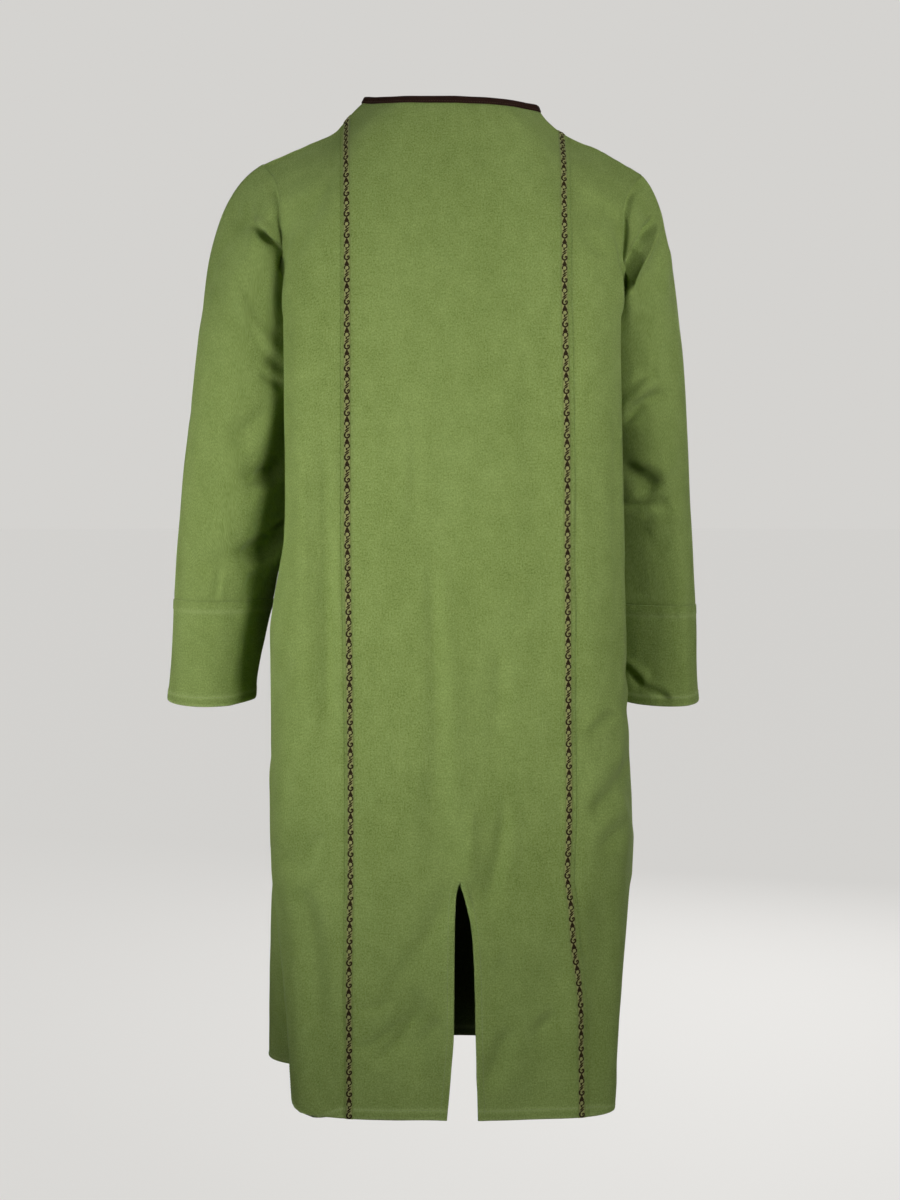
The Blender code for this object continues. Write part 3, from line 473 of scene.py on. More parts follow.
pressed = {
    "backStrength": 1.80, "rightStrength": 0.8, "fuller": 0.0085, "uneven": 0.0011,
    # where the fuller parts of the back begin and end across it and up it, and over what width
    "fullerFrom": (0.52, 0.34), "fullerTo": (0.88, 0.12),
    "fullerTop": (-0.20, -0.10), "fullerFoot": (-1.02, 0.16),
    "bodyWaves": (0.17, 0.075, 0.033), "sleeveWaves": (0.12, 0.055, 0.026), "rightShift": 0.012,
}


def creaseDepth(creases, a, b):
    total = np.zeros(np.shape(a))
    for a1, b1, a2, b2, bow, width, depth, lip in zip(*creases.values()):
        length = math.hypot(a2 - a1, b2 - b1)
        along = ((a - a1) * (a2 - a1) + (b - b1) * (b2 - b1)) / length ** 2
        inside = np.clip(along, 0.0, 1.0)
        away = ((a - a1) * (b2 - b1) - (b - b1) * (a2 - a1)) / length - bow * 4 * inside * (1 - inside)
        spread = width * (0.7 + 0.6 * inside)
        fade = eased(along / 0.3 + 0.4) * eased((1 - along) / 0.3 + 0.4)
        total += depth * fade * (bell(away, spread) - lip * bell(away - 1.9 * spread, spread * 1.1))
    return total


def waves(points, seed, lengths, height):
    # slow unevenness of cloth that hangs: a few crossing waves, longer up and down than across
    random = np.random.default_rng(seed)
    total = np.zeros(points.shape[:-1])
    for length in lengths:
        for _ in range(4):
            angle, phase = random.uniform(0, math.tau, 2)
            direction = np.array([math.cos(angle), math.sin(angle), random.uniform(-0.45, 0.45)])
            total += np.sin(points @ direction * (math.tau / length) + phase) * (length / lengths[0])
    return total * height / 4


def pressedBody(points, normals):
    # how deep the cloth lies under the plain form
    x, y, z = np.moveaxis(points, -1, 0)
    onBack, onFront = (eased((face * normals[..., 1] - 0.05) / 0.5) for face in (1, -1))
    onLeft, onRight = (eased((sign * normals[..., 0] - 0.35) / 0.4) for sign in (1, -1))
    depth = creaseDepth(backCreases, x, z) * pressed["backStrength"] * onBack
    across = np.abs(x) / np.where(x >= 0, smoothAt(bodyTable, "left", z), smoothAt(bodyTable, "right", z))
    fuller = ramp(across, *pressed["fullerFrom"]) * (1 - ramp(across, *pressed["fullerTo"]))
    upDown = ramp(z, *pressed["fullerTop"]) * ramp(z, *pressed["fullerFoot"])
    depth -= pressed["fuller"] * fuller * upDown * onBack  # the back is flatter towards the arms
    depth += creaseDepth(frontCreases, x, z) * onFront
    depth += creaseDepth(sideCreases, y, z) * onLeft
    depth += creaseDepth(sideCreases, -y * 0.9, z + 0.03) * onRight * pressed["rightStrength"]
    return depth + waves(points, 11, pressed["bodyWaves"], pressed["uneven"])


def pressedSleeve(side, points, normals):
    x, y, z = np.moveaxis(points, -1, 0)
    sign = signs[side]
    onBack, onFront = (eased((face * normals[..., 1] + 0.1 * face) / 0.5) for face in (1, -1))
    outside = eased((sign * normals[..., 0] - 0.35) / 0.4)
    shift = 0.0 if side == "left" else pressed["rightShift"]
    depth = (creaseDepth(sleeveCreases[side], x, z) + creaseDepth(cuffCreases[side], x, z)) * onBack
    depth += creaseDepth(sleeveFrontCreases, sign * x + shift, z + shift) * onFront
    depth += creaseDepth(sleeveOuterCreases, y + shift * 3, z - shift) * outside
    return depth + waves(points, 21 + int(sign), pressed["sleeveWaves"], pressed["uneven"])


# Making a cloth wall from a grid of points

clothWall = {
    "thick": 0.0012, "spacing": 0.0043,
    "hemDeep": 0.0115, "slitHemDeep": 0.0080, "hemRaise": 0.0006, "hemFold": 0.0009,
    "hemBeyond": 0.0004, "hemSlope": 0.0016, "edgeRound": 0.0005, "edgeWide": 0.0009,
    "stitchSink": 0.0004, "stitchWide": 0.0009,
    # seams: how deep and wide they sink, and how wide the painted shade along them spreads
    "seamSink": 0.0003, "seamWide": 0.0016, "seamInside": 0.6, "seamShadeWide": 0.0028,
    # hems and edges lightened, partly thread wear and partly painted highlight: how strongly and how wide
    "hemWearAndLight": 0.7, "slitWearAndLight": 0.25, "wearAndLightWide": 0.0022, "rubAndLight": 0.0018,
    "pucker": 0.0004, "puckerWaves": (0.017, 0.009), "puckerSeam": 0.006, "puckerHem": 0.007,
}
seamSteps = np.array((0.0, 0.0010, 0.0022, 0.0040))
hemSteps = np.array((0.0, 0.0012, 0.0040, 0.0075, 0.0100, 0.0109, 0.0117, 0.0126, 0.0150))
slitSteps = np.array((0.0, 0.0012, 0.0036, 0.0064, 0.0073, 0.0081, 0.0090, 0.0115))
runs = {"body": [], "sleeves": [], "neck": []}  # where the rows of stitches go: points and their normals


def gridNormals(points, outward, closed=False):
    if closed:
        across = np.roll(points, -1, axis=1) - np.roll(points, 1, axis=1)
    else:
        across = np.gradient(points, axis=1)
    return unit(np.cross(across, np.gradient(points, axis=0)) * outward)


def gridQuads(index):
    return np.stack((index[:-1, :-1], index[:-1, 1:], index[1:, 1:], index[1:, :-1]), axis=-1).reshape(-1, 4)


def arcs(points, axis):
    # running length along the rows (axis 1) or the columns (axis 0)
    steps = np.linalg.norm(np.diff(points, axis=axis), axis=-1)
    pad = [(0, 0), (0, 0)]
    pad[axis] = (1, 0)
    return np.cumsum(np.pad(steps, pad), axis=axis)


def addObject(name, data):
    item = bpy.data.objects.new(name, data)
    bpy.context.scene.collection.objects.link(item)
    return item


def meshOf(name, points, faces, uv, masks, look):
    # faces are quads; uv is one value for each of their corners, and masks one for each point
    data = bpy.data.meshes.new(name)
    data.vertices.add(len(points))
    data.vertices.foreach_set("co", np.ascontiguousarray(points, np.float32).ravel())
    corners = np.ascontiguousarray(faces, np.int32).ravel()
    data.loops.add(len(corners))
    data.loops.foreach_set("vertex_index", corners)
    data.polygons.add(len(faces))
    data.polygons.foreach_set("loop_start", np.arange(0, len(corners), 4, dtype=np.int32))
    layer = data.uv_layers.new(name="cloth")
    layer.uv.foreach_set("vector", np.ascontiguousarray(uv, np.float32).ravel())
    for mask, values in masks.items():
        layer = data.attributes.new(mask, "FLOAT", "POINT")
        layer.data.foreach_set("value", np.ascontiguousarray(values, np.float32))
    data.materials.append(materials[look])
    data.update(calc_edges=True)
    data.shade_smooth()
    return addObject(name, data)


def hemProfile(distance, deep):
    # raise of the outer side and extra thickness over a folded hem, with its row of stitches sunk in
    on = 1 - ramp(distance - deep, clothWall["hemBeyond"], clothWall["hemSlope"])
    sunk = bell(distance - deep, clothWall["stitchWide"])
    return on * clothWall["hemRaise"] - sunk * clothWall["stitchSink"], on * clothWall["hemFold"]


def raisedHems(part):
    # raise, extra thickness, and wear with painted highlight over all hems of a part
    raised, fold, wearAndLight = np.zeros(part["points"].shape[:2]), 0.0, 0.0
    for distance, deep, rubbedAndLit in part["hems"]:
        up, more = hemProfile(distance, deep)
        raised = np.where(np.abs(up) > np.abs(raised), up, raised)
        raised = raised - clothWall["edgeRound"] * bell(distance, clothWall["edgeWide"])
        fold = np.maximum(fold, more)
        # lighter along the stitch lines and edges: wear and painted highlight
        lines = clothWall["hemWearAndLight"] * bell(distance - deep, clothWall["wearAndLightWide"])
        wearAndLight = np.maximum(wearAndLight, (lines + bell(distance, part.get("rubAndLight", clothWall["rubAndLight"]))) * rubbedAndLit)
    return raised, fold, wearAndLight


def finishPiece(name, parts):
    # builds one cloth piece from its grids: hems folded and raised, sewn edges rolled in, walls closed
    outer, inner, uv, wornAndLit, seamShades, quads, uvQuads, start = [], [], [], [], [], [], [], 0
    for part in parts:
        points, normals = part["points"], part["normals"]
        rows, columns = points.shape[:2]
        index = start + np.arange(rows * columns).reshape(rows, columns)
        uvIndex = index.copy()
        if part.get("closed"):
            index[:, -1] = index[:, 0]
        if "shared" in part:
            index[part["shared"][0], 0] = part["shared"][1]
        part["index"] = index
        raised, fold, wearAndLight = raisedHems(part)
        near = bell(part["seam"], clothWall["puckerSeam"])
        for distance, deep, _ in part["hems"]:
            near = np.maximum(near, bell(distance - deep, clothWall["puckerHem"]))
        sink = clothWall["seamSink"] * bell(part["seam"], clothWall["seamWide"])
        pucker = waves(points, len(name), clothWall["puckerWaves"], clothWall["pucker"]) * near
        outer.append((points + normals * (raised - sink + pucker)[..., None]).reshape(-1, 3))
        wall = clothWall["thick"] + fold + sink * clothWall["seamInside"]
        inner.append((points - normals * wall[..., None]).reshape(-1, 3))
        uv.append(np.stack((part["u"], part["v"]), axis=-1).reshape(-1, 2))
        wornAndLit.append(np.broadcast_to(wearAndLight, (rows, columns)).reshape(-1))
        # a mask of painted shade along the seams
        seamShades.append(bell(part["seam"], clothWall["seamShadeWide"]).reshape(-1))
        turn = slice(None) if part["outward"] > 0 else slice(None, None, -1)
        quads.append(gridQuads(index)[:, turn])
        uvQuads.append(gridQuads(uvIndex)[:, turn])
        start += rows * columns
    outer, inner, uv, wornAndLit, seamShades = (np.concatenate(values) for values in (outer, inner, uv, wornAndLit, seamShades))
    quads, uvQuads = np.concatenate(quads), np.concatenate(uvQuads)
    for part in parts:
        part["outer"] = outer[part["index"]]
    used, small = np.unique(quads, return_inverse=True)
    small = small.reshape(-1, 4)
    count = len(used)
    edges, uvEdges = (np.concatenate([grid[:, [k, (k + 1) % 4]] for k in range(4)])
                      for grid in (small, uvQuads))
    keys = np.sort(edges, axis=1) @ np.array([count, 1])
    _, where, times = np.unique(keys, return_index=True, return_counts=True)
    free, uvFree = edges[where[times == 1]], uvEdges[where[times == 1]]
    rim = np.concatenate((free[:, ::-1], free + count), axis=1)
    uvRim = np.concatenate((uvFree[:, ::-1], uvFree), axis=1)
    faces = np.concatenate((small, small[:, ::-1] + count, rim))
    corners = np.concatenate((uvQuads, uvQuads[:, ::-1], uvRim))
    item = meshOf(name, np.concatenate((outer[used], inner[used])), faces, uv[corners.ravel()],
                  {"wornAndLit": np.tile(wornAndLit[used], 2), "seam": np.tile(seamShades[used], 2)}, "moss_cotton")
    a, b, c, d = (outer[used][small[:, k]] for k in range(4))
    item["area"] = float(np.linalg.norm(np.cross(c - a, d - b), axis=-1).sum() / 2)
    item["wide"] = float(sum(arcs(part["points"], 1)[:, -1].max() for part in parts))
    item["long"] = float(max(arcs(part["points"], 0)[-1].max() for part in parts))
    return item


def edgeLine(part, edge, at, rows=slice(None)):
    # a line on the finished outer side, at a distance from one edge of a grid
    grids = [part["outer"][rows], part["normals"][rows]]
    if edge in ("bottom", "top"):
        grids = [grid.swapaxes(0, 1) for grid in grids]
    if edge in ("end", "top"):
        grids = [grid[:, ::-1] for grid in grids]
    away = arcs(grids[0], 1)
    points, normals = (
        np.array([[np.interp(at, far, row[:, k]) for k in range(3)] for far, row in zip(away, grid)])
        for grid in grids)
    return points, unit(normals)


# Back and front of the body

def gridShares(wide, step, first, last, *stops):
    # shares across a grid about this wide: fine steps at both ends, and even ones between the stops
    first, last = first / wide, 1 - last[::-1] / wide
    line = [first]
    for start, end in zip((first[-1], *stops), (*stops, last[0])):
        line.append(between(start, end, step / wide))
    return np.concatenate((*line, last[1:]))


def levelsFrom(hem, step):
    low = hem + hemSteps
    flap = between(low[-1], body["slitTop"], step)
    flap[-1] = body["slitTop"]
    side = between(body["slitTop"], body["underarm"], step)
    side[-1] = body["underarm"]
    upper = gridShares(body["upperTall"], step, np.zeros(1), seamSteps)[1:]
    lower = np.concatenate((low, flap, side)) - body["underarm"]
    return np.concatenate((lower, upper)), len(low) + len(flap) - 1


def bodyGrid(face, s, level, rise=1.0):
    # above the underarm, rise brings each column's top down to the neck opening
    level = np.broadcast_to(level[:, None], s.shape)
    points = bodyPoints(face, s, np.where(level > 0, level * rise, level))
    normals = gridNormals(points, -face)
    points = points - normals * pressedBody(points, normals)[..., None]
    return points, gridNormals(points, -face)


def cornerInset(radius, above):
    short = np.clip(radius - above, 0.0, radius)
    return radius - np.sqrt(radius ** 2 - short ** 2)


def braidShare(side, level, offset):
    # place s of a line beside a braid's middle, on each row of the back
    sign, nearBraid = signs[side], 0.55
    z = np.where(level < 0, body["underarm"] + level, 0.0)
    high = level >= 0
    z[high] = bodyPoints(1, np.full(high.sum(), sign * nearBraid), level[high])[:, 2]
    x = sign * (smoothAt(braidTable, side, z) + offset)
    shares = shareAt(1, x, level)
    shares[level >= 1] = (x / body["shoulder" + side.capitalize()])[level >= 1]
    return shares


def hemsOf(level, hem, up, slit, rubbedAndLit=1.0):
    # distance from the bottom edge and from a slit's edge, which ends at the slit's top: how deep, how much
    # wear and painted highlight
    above = np.maximum(body["underarm"] + level - body["slitTop"], 0.0)[:, None]
    return [(up, clothWall["hemDeep"], 1.0), (slit + above * 1.2, clothWall["slitHemDeep"], rubbedAndLit)]


def sewBody(part, edges, first, last):
    # rows of stitches along the hem and up the slits' edges
    runs["body"].append(edgeLine(part, "bottom", clothWall["hemDeep"]))
    for edge in edges:
        runs["body"].append(edgeLine(part, edge, clothWall["slitHemDeep"], slice(first, last)))


halfGap = body["seamGap"] / 2
backStep, frontStep = clothWall["spacing"], clothWall["spacing"] * 1.2
backLevels, slitRow = levelsFrom(body["backHem"], backStep)
frontLevels, frontSlitRow = levelsFrom(body["frontHem"], frontStep)
seamShare = {side: braidShare(side, backLevels, body["seamBeside" + side.capitalize()]) for side in signs}


def backCentreHalf(side):
    # columns run from the middle, or the slit's edge, out to the panel seam
    sign, name, level = signs[side], side.capitalize(), backLevels
    seam = movedShare(1, seamShare[side], level, -sign * halfGap)
    z = body["underarm"] + level
    upper = body["underarm"] + (body["ridgeTop"] - body["underarm"]) * level
    middle = smoothAt(backMiddle, "across", np.where(level < 0, z, upper))
    middle = middle / smoothAt(bodyTable, "left", np.minimum(z, body["underarm"]))
    slit = slice(0, slitRow)
    middle[slit] = shareAt(1, smoothAt(slitTable, side, z[slit]), level[slit])
    corner = sign * body["neck" + name] / body["shoulder" + name] / seam[-1]
    shares = gridShares(body["centreHalf"], backStep, slitSteps, seamSteps, corner)
    rise = neckShare(1, seam[-1] * shares)
    rise[shares >= corner - 1e-6] = 1.0
    s = middle[:, None] + (seam - middle)[:, None] * shares
    if sign < 0:
        s, rise = s[:, ::-1], rise[::-1]
    points, normals = bodyGrid(1, s, level, rise)
    along, up = arcs(points, 1), arcs(points, 0)
    fromMiddle, toSeam = (along, along[:, -1:] - along)[::int(sign)]
    hems = hemsOf(level, body["backHem"], up, fromMiddle, clothWall["slitWearAndLight"])
    return {"points": points, "normals": normals, "hems": hems, "outward": -1,
            "u": sign * fromMiddle, "v": up, "seam": np.minimum(toSeam, up[-1:] - up)}


def makeBackCentre():
    right, left = backCentreHalf("right"), backCentreHalf("left")
    rows, columns = right["points"].shape[:2]
    joinedRows = slice(slitRow, rows)
    for name in ("points", "normals"):
        shared = (right[name][joinedRows, -1] + left[name][joinedRows, 0]) / 2
        shared = unit(shared) if name == "normals" else shared
        right[name][joinedRows, -1] = left[name][joinedRows, 0] = shared
    left["shared"] = (joinedRows, (np.arange(rows) * columns + columns - 1)[joinedRows])
    item = finishPiece("back_centre_cloth", [right, left])
    sewBody(right, ["end"], 3, slitRow - 2)
    sewBody(left, ["start"], 3, slitRow - 2)
    return item


def makeBackSide(side):
    sign, level = signs[side], backLevels
    start = movedShare(1, seamShare[side], level, sign * halfGap)
    above = body["underarm"] + level - body["backHem"]
    inset = cornerInset(body["backCorner" + side.capitalize()], above) + halfGap
    edge = np.where(level < 0, movedShare(1, np.full(len(level), sign), level, -sign * inset), sign)
    shares = gridShares(body["sideWide"], backStep, seamSteps, slitSteps)
    s = (start[:, None] + (edge - start)[:, None] * shares)[:, ::int(sign)]
    points, normals = bodyGrid(1, s, level)
    along, up = arcs(points, 1), arcs(points, 0)
    fromSeam, toEdge = (along, along[:, -1:] - along)[::int(sign)]
    openRows = (np.arange(len(level)) < slitRow)[:, None]
    seam = np.minimum(np.minimum(fromSeam, np.where(openRows, 1.0, toEdge)), up[-1:] - up)
    # a wider lightened band along the outer edge and hem: wear and painted highlight
    part = {"points": points, "normals": normals, "hems": hemsOf(level, body["backHem"], up, toEdge),
            "u": sign * (body["sideMap"] + fromSeam), "v": up, "seam": seam, "outward": -1, "rubAndLight": 0.0050}
    item = finishPiece("back_side_" + side + "_cloth", [part])
    sewBody(part, ["end" if sign > 0 else "start"], 6, slitRow - 1)
    return item


def makeFront():
    level = frontLevels
    inset = cornerInset(body["frontCorner"], body["underarm"] + level - body["frontHem"]) + halfGap
    halves = {}
    for side, sign in signs.items():
        corner = body["neck" + side.capitalize()] / body["shoulder" + side.capitalize()]
        shares = gridShares(body["frontHalf"], frontStep, np.zeros(1), slitSteps, corner)
        edge = np.abs(movedShare(-1, np.full(len(level), sign), level, -sign * inset))
        rise = neckShare(-1, sign * shares)
        rise[shares >= corner - 1e-6] = 1.0
        halves[side] = (sign * np.where(level < 0, edge, 1.0)[:, None] * shares, rise)
    s = np.concatenate((halves["right"][0][:, :0:-1], halves["left"][0]), axis=1)
    rise = np.concatenate((halves["right"][1][:0:-1], halves["left"][1]))
    points, normals = bodyGrid(-1, s, level, rise)
    along, up = arcs(points, 1), arcs(points, 0)
    toEdge = np.minimum(along, along[:, -1:] - along)
    openRows = (np.arange(len(level)) < frontSlitRow)[:, None]
    seam = np.minimum(np.where(openRows, 1.0, toEdge), up[-1:] - up)
    part = {"points": points, "normals": normals, "hems": hemsOf(level, body["frontHem"], up, toEdge),
            "u": along - along[:, -1:] / 2, "v": up, "seam": seam, "outward": 1}
    item = finishPiece("front_cloth", [part])
    sewBody(part, ["start", "end"], 6, frontSlitRow - 1)
    return item


# Sleeves and cuffs

sleeve = {
    "top": -0.310, "leftCuff": -0.592, "rightCuff": -0.600, "leftEnd": -0.7140, "rightEnd": -0.7200,
    "leftTilt": 0.0060, "rightTilt": 0.0045, "leftFull": 0.80, "rightFull": 0.56,
    "leftStart": (0.90, -0.43), "rightStart": (0.78, -0.62), "under": (0.28, -0.96),  # out and up
    "bandDeep": 0.0130, "creaseFree": 0.011,
    # how far behind the upper arm the cloth is full, and where it begins and ends
    "corner": 0.050, "cornerPower": 0.35, "flatStart": 0.6, "flatEnd": (-0.325, -0.09),
    # the trough beside the armhole seam: depth, distance from the seam, width, and its ends
    "groove": 0.0062, "grooveAt": 0.0055, "grooveWide": 0.0065, "grooveRise": 0.003,
    "grooveLow": (-0.225, 0.03), "grooveHigh": (-0.085, -0.03),
    "around": 128, "capRows": 60,
}
sleeveTable = columnsOf(
    "height leftOut leftIn leftY leftDeep rightOut rightIn rightY rightDeep",
    (-0.724, 0.3550, 0.2460, -0.022, 0.052, 0.3035, 0.2060, -0.056, 0.055),
    (-0.692, 0.3510, 0.2430, -0.022, 0.052, 0.3012, 0.2030, -0.055, 0.055),
    (-0.660, 0.3475, 0.2370, -0.021, 0.053, 0.2996, 0.2000, -0.053, 0.056),
    (-0.630, 0.3450, 0.2300, -0.020, 0.054, 0.2985, 0.1970, -0.050, 0.057),
    (-0.592, 0.3425, 0.2220, -0.016, 0.055, 0.2965, 0.1930, -0.046, 0.058),
    (-0.539, 0.3380, 0.2120, -0.010, 0.058, 0.2928, 0.1880, -0.040, 0.060),
    (-0.447, 0.3292, 0.1910, -0.003, 0.063, 0.2860, 0.1800, -0.026, 0.065),
    (-0.350, 0.3180, 0.1840, -0.006, 0.066, 0.2795, 0.1760, -0.018, 0.068),
    (-0.310, 0.3145, 0.1850, -0.010, 0.065, 0.2765, 0.1780, -0.018, 0.066),
)
turnIn = columnsOf(  # the sleeves' backs turned in towards the body: where that begins, and how sharply
    "height left leftSlope right rightSlope",
    (-0.720, 0.2720, 3.0, 0.2850, 0.70),
    (-0.660, 0.2640, 4.2, 0.2830, 0.80),
    (-0.592, 0.2540, 4.8, 0.2800, 0.80),
    (-0.537, 0.2520, 3.8, 0.2740, 0.75),
    (-0.459, 0.2360, 2.8, 0.2600, 0.55),
    (-0.435, 0.2360, 2.5, 0.2500, 0.40),
    (-0.400, 0.2260, 1.9, 0.2400, 0.25),
    (-0.345, 0.2080, 1.0, 0.2230, 0.20),
    (-0.310, 0.1950, 0.0, 0.2080, 0.10),
)
sleeveFolds = {  # x1, z1, x2, z2, width, depth
    "left": (
        (0.245, -0.135, 0.205, -0.200, 0.013, 0.0060),
        (0.262, -0.380, 0.220, -0.450, 0.018, 0.0045),
        (0.275, -0.555, 0.320, -0.540, 0.014, 0.0030),
    ),
    "right": (
        (-0.246, -0.140, -0.200, -0.230, 0.014, 0.0065),
        (-0.215, -0.372, -0.262, -0.345, 0.014, 0.0045),
        (-0.225, -0.450, -0.265, -0.480, 0.016, 0.0035),
    ),
}
halfRing = math.pi * np.arange(sleeve["around"] // 2) / (sleeve["around"] // 2)
ringAngles = np.concatenate((math.pi + halfRing, halfRing))  # over the front, then down the back


def ringPoints(side, z):
    out, inn, y, deep = (smoothAt(sleeveTable, side + part, z) for part in ("Out", "In", "Y", "Deep"))
    seam, end = sleeve[side + "Cuff"], sleeve[side + "End"]
    tilted = np.where(z < seam, sleeve[side + "Tilt"] * (seam - z) / (seam - end), 0.0)
    x = signs[side] * ((out + inn) / 2 + (out - inn) / 2 * np.cos(ringAngles))
    return np.stack((x, y + deep * np.sin(ringAngles), z - tilted * np.sin(ringAngles)), axis=-1)


def ringsAt(side, heights):
    return np.array([ringPoints(side, np.full(len(ringAngles), z)) for z in heights])


def armholeRing(side):
    # points round the armhole from under the arm, over the front and down the back,
    # with the way the sleeve leaves at each
    sign, count, fine = signs[side], len(halfRing), np.linspace(0, 1, 600)
    shares = {}
    for face in (-1, 1):
        far = lengthAlong(armholePoints(face, side, fine))
        shares[face] = np.interp(np.arange(count + 1) / count * far[-1], far, fine)
    t = np.concatenate((shares[-1][:-1], shares[1][:0:-1]))
    points = np.concatenate((armholePoints(-1, side, t[:count]), armholePoints(1, side, t[count:])))
    front, back = (bodyNormals(face, np.full(2 * count, sign), t) for face in (-1, 1))
    own = np.concatenate((front[:count], back[count:]))
    atEnds = ((t < 1e-9) | (t > 1 - 1e-9))[:, None]
    normal = unit(np.where(atEnds, back + front, own))
    tangent = unit(np.roll(points, -1, axis=0) - np.roll(points, 1, axis=0))
    top = ((1 + np.cos(ringAngles)) / 2)[:, None]
    (outTop, upTop), (outUnder, upUnder) = sleeve[side + "Start"], sleeve["under"]
    leave = unit(top * (sign * outTop, 0.0, upTop) + (1 - top) * (sign * outUnder, 0.0, upUnder))

    def without(vectors, along):
        return vectors - (vectors * along).sum(-1, keepdims=True) * along

    shared = unit(without(normal + unit(np.cross(leave, tangent) * sign), tangent))
    away = without(without(unit(np.cross(tangent, normal) * sign) + leave, tangent), shared)
    return points + unit(away) * body["seamGap"], leave


def turnedIn(side, rows):
    z = rows[..., 2]
    beyond = np.maximum(smoothAt(turnIn, side, z) - np.abs(rows[..., 0]), 0.0)
    asked = smoothAt(turnIn, side + "Slope", z) * beyond ** 2 / (beyond + 0.004)
    room = 0.85 * smoothAt(sleeveTable, side + "Deep", z) * np.maximum(np.sin(ringAngles), 0.0)
    moved = rows.copy()
    moved[..., 1] -= asked * room / (asked + room + 1e-6)
    return moved


def sleeveGrid(side, rows, armhole=False):
    # rows of points made into a closed grid, with the creases pressed in up to the armhole seam
    outward = -signs[side]
    rows = turnedIn(side, rows)
    normals = gridNormals(rows, outward, closed=True)
    depth = pressedSleeve(side, rows, normals)
    if armhole:  # a trough along the seam at the back, from the shoulder to half way down
        down, z = arcs(rows, 0), rows[..., 2]
        onBack = eased((normals[..., 1] + 0.1) / 0.5)
        shown = onBack * ramp(z, *sleeve["grooveLow"]) * ramp(z, *sleeve["grooveHigh"])
        depth *= eased(down / sleeve["creaseFree"])
        trough = bell(down - sleeve["grooveAt"], sleeve["grooveWide"]) * eased(down / sleeve["grooveRise"])
        depth += sleeve["groove"] * trough * shown
    points = rows - normals * depth[..., None]
    normals = gridNormals(points, outward, closed=True)
    points, normals = (np.concatenate((grid, grid[:, :1]), axis=1) for grid in (points, normals))
    along, down = arcs(points, 1), arcs(points, 0)
    under = np.minimum(along, along[:, -1:] - along)  # the seam that closes the sleeve under the arm
    return {"points": points, "normals": normals, "closed": True, "outward": outward, "hems": [],
            "u": along - along[:, -1:] / 2, "v": -down, "seam": np.minimum(under, down)}, down


def makeSleeve(side):
    start, leave = armholeRing(side)
    low, lower = ringsAt(side, (sleeve["top"], -0.345))
    reach = np.linalg.norm(low - start, axis=1)[:, None]
    ends = unit(low - lower)
    first = np.array((0.0, 0.008, 0.018, 0.032))
    shares = np.concatenate((first, between(first[-1], 1.0, (1 - first[-1]) / sleeve["capRows"])))
    cap = []
    for t in shares:
        bend = leave * (sleeve[side + "Full"] * t * (1 - t) ** 2) + ends * (t * t * (1 - t))
        cap.append(start * ((1 + 2 * t) * (1 - t) ** 2) + low * (t * t * (3 - 2 * t)) + reach * bend)
    last = sleeve[side + "Cuff"] + seamSteps[::-1]
    heights = np.concatenate((between(sleeve["top"], last[0], clothWall["spacing"]), last[1:]))
    rows = np.concatenate((np.array(cap), ringsAt(side, heights)))
    behind = np.maximum(np.sin(ringAngles), 0.0)  # the upper arm's back lies flat up to the body
    flat = np.concatenate((eased(shares / sleeve["flatStart"]), 1 - ramp(heights, *sleeve["flatEnd"])))
    inner = np.where(np.cos(ringAngles) < 0, behind ** sleeve["cornerPower"] - behind, 0.0)
    rows[..., 1] += sleeve["corner"] * flat[:, None] * inner
    depth = foldDepth(sleeveFolds[side], rows[..., 0], rows[..., 2]) * eased(np.sin(ringAngles) * 1.5)
    depth[0] = 0.0
    outward = np.stack((signs[side] * np.cos(ringAngles), np.sin(ringAngles), 0 * ringAngles), axis=-1)
    part, down = sleeveGrid(side, rows - outward * depth[..., None], armhole=True)
    part["seam"] = np.minimum(part["seam"], down[-1:] - down)
    return finishPiece("sleeve_" + side + "_cloth", [part])


def makeCuff(side):
    top, end, band = sleeve[side + "Cuff"] - body["seamGap"], sleeve[side + "End"], sleeve["bandDeep"]
    first = top - seamSteps
    line = top - band + np.array((0.0020, 0.0010, 0.0, -0.0010, -0.0022))
    last = end + hemSteps[::-1]
    rows = ringsAt(side, np.concatenate((
        first, between(first[-1], line[0], clothWall["spacing"]), line[1:],
        between(line[-1], last[0], clothWall["spacing"]), last[1:])))
    part, down = sleeveGrid(side, rows)
    part["seam"] = np.minimum(part["seam"], np.abs(down - band) + 0.0008)
    part["hems"] = [(down[-1:] - down, clothWall["hemDeep"], 1.0), (down + 0.002, band + 0.002, 1.0)]
    item = finishPiece("cuff_" + side + "_cloth", [part])
    runs["sleeves"].append(edgeLine(part, "top", clothWall["hemDeep"]))  # the grid's last row is the hem
    return item


# Neck binding: a folded strip that laps over the edge of the cloth all round

binding = {
    "lift": 0.7, "along": 80,
    # section: height up the strip and distance out from the cloth, from the outer lower edge over the top
    "section": ((-0.0010, 0.0004), (-0.0006, 0.0009), (0.0006, 0.0012), (0.0026, 0.0011), (0.0050, 0.0013),
                (0.0070, 0.0011), (0.0080, 0.0005), (0.0085, -0.0005), (0.0082, -0.0014), (0.0072, -0.0020),
                (0.0050, -0.0023), (0.0026, -0.0021), (0.0006, -0.0019), (0.0002, -0.0010)),
    "stitchHigh": 0.0010, "stitchOut": 0.0012,
}


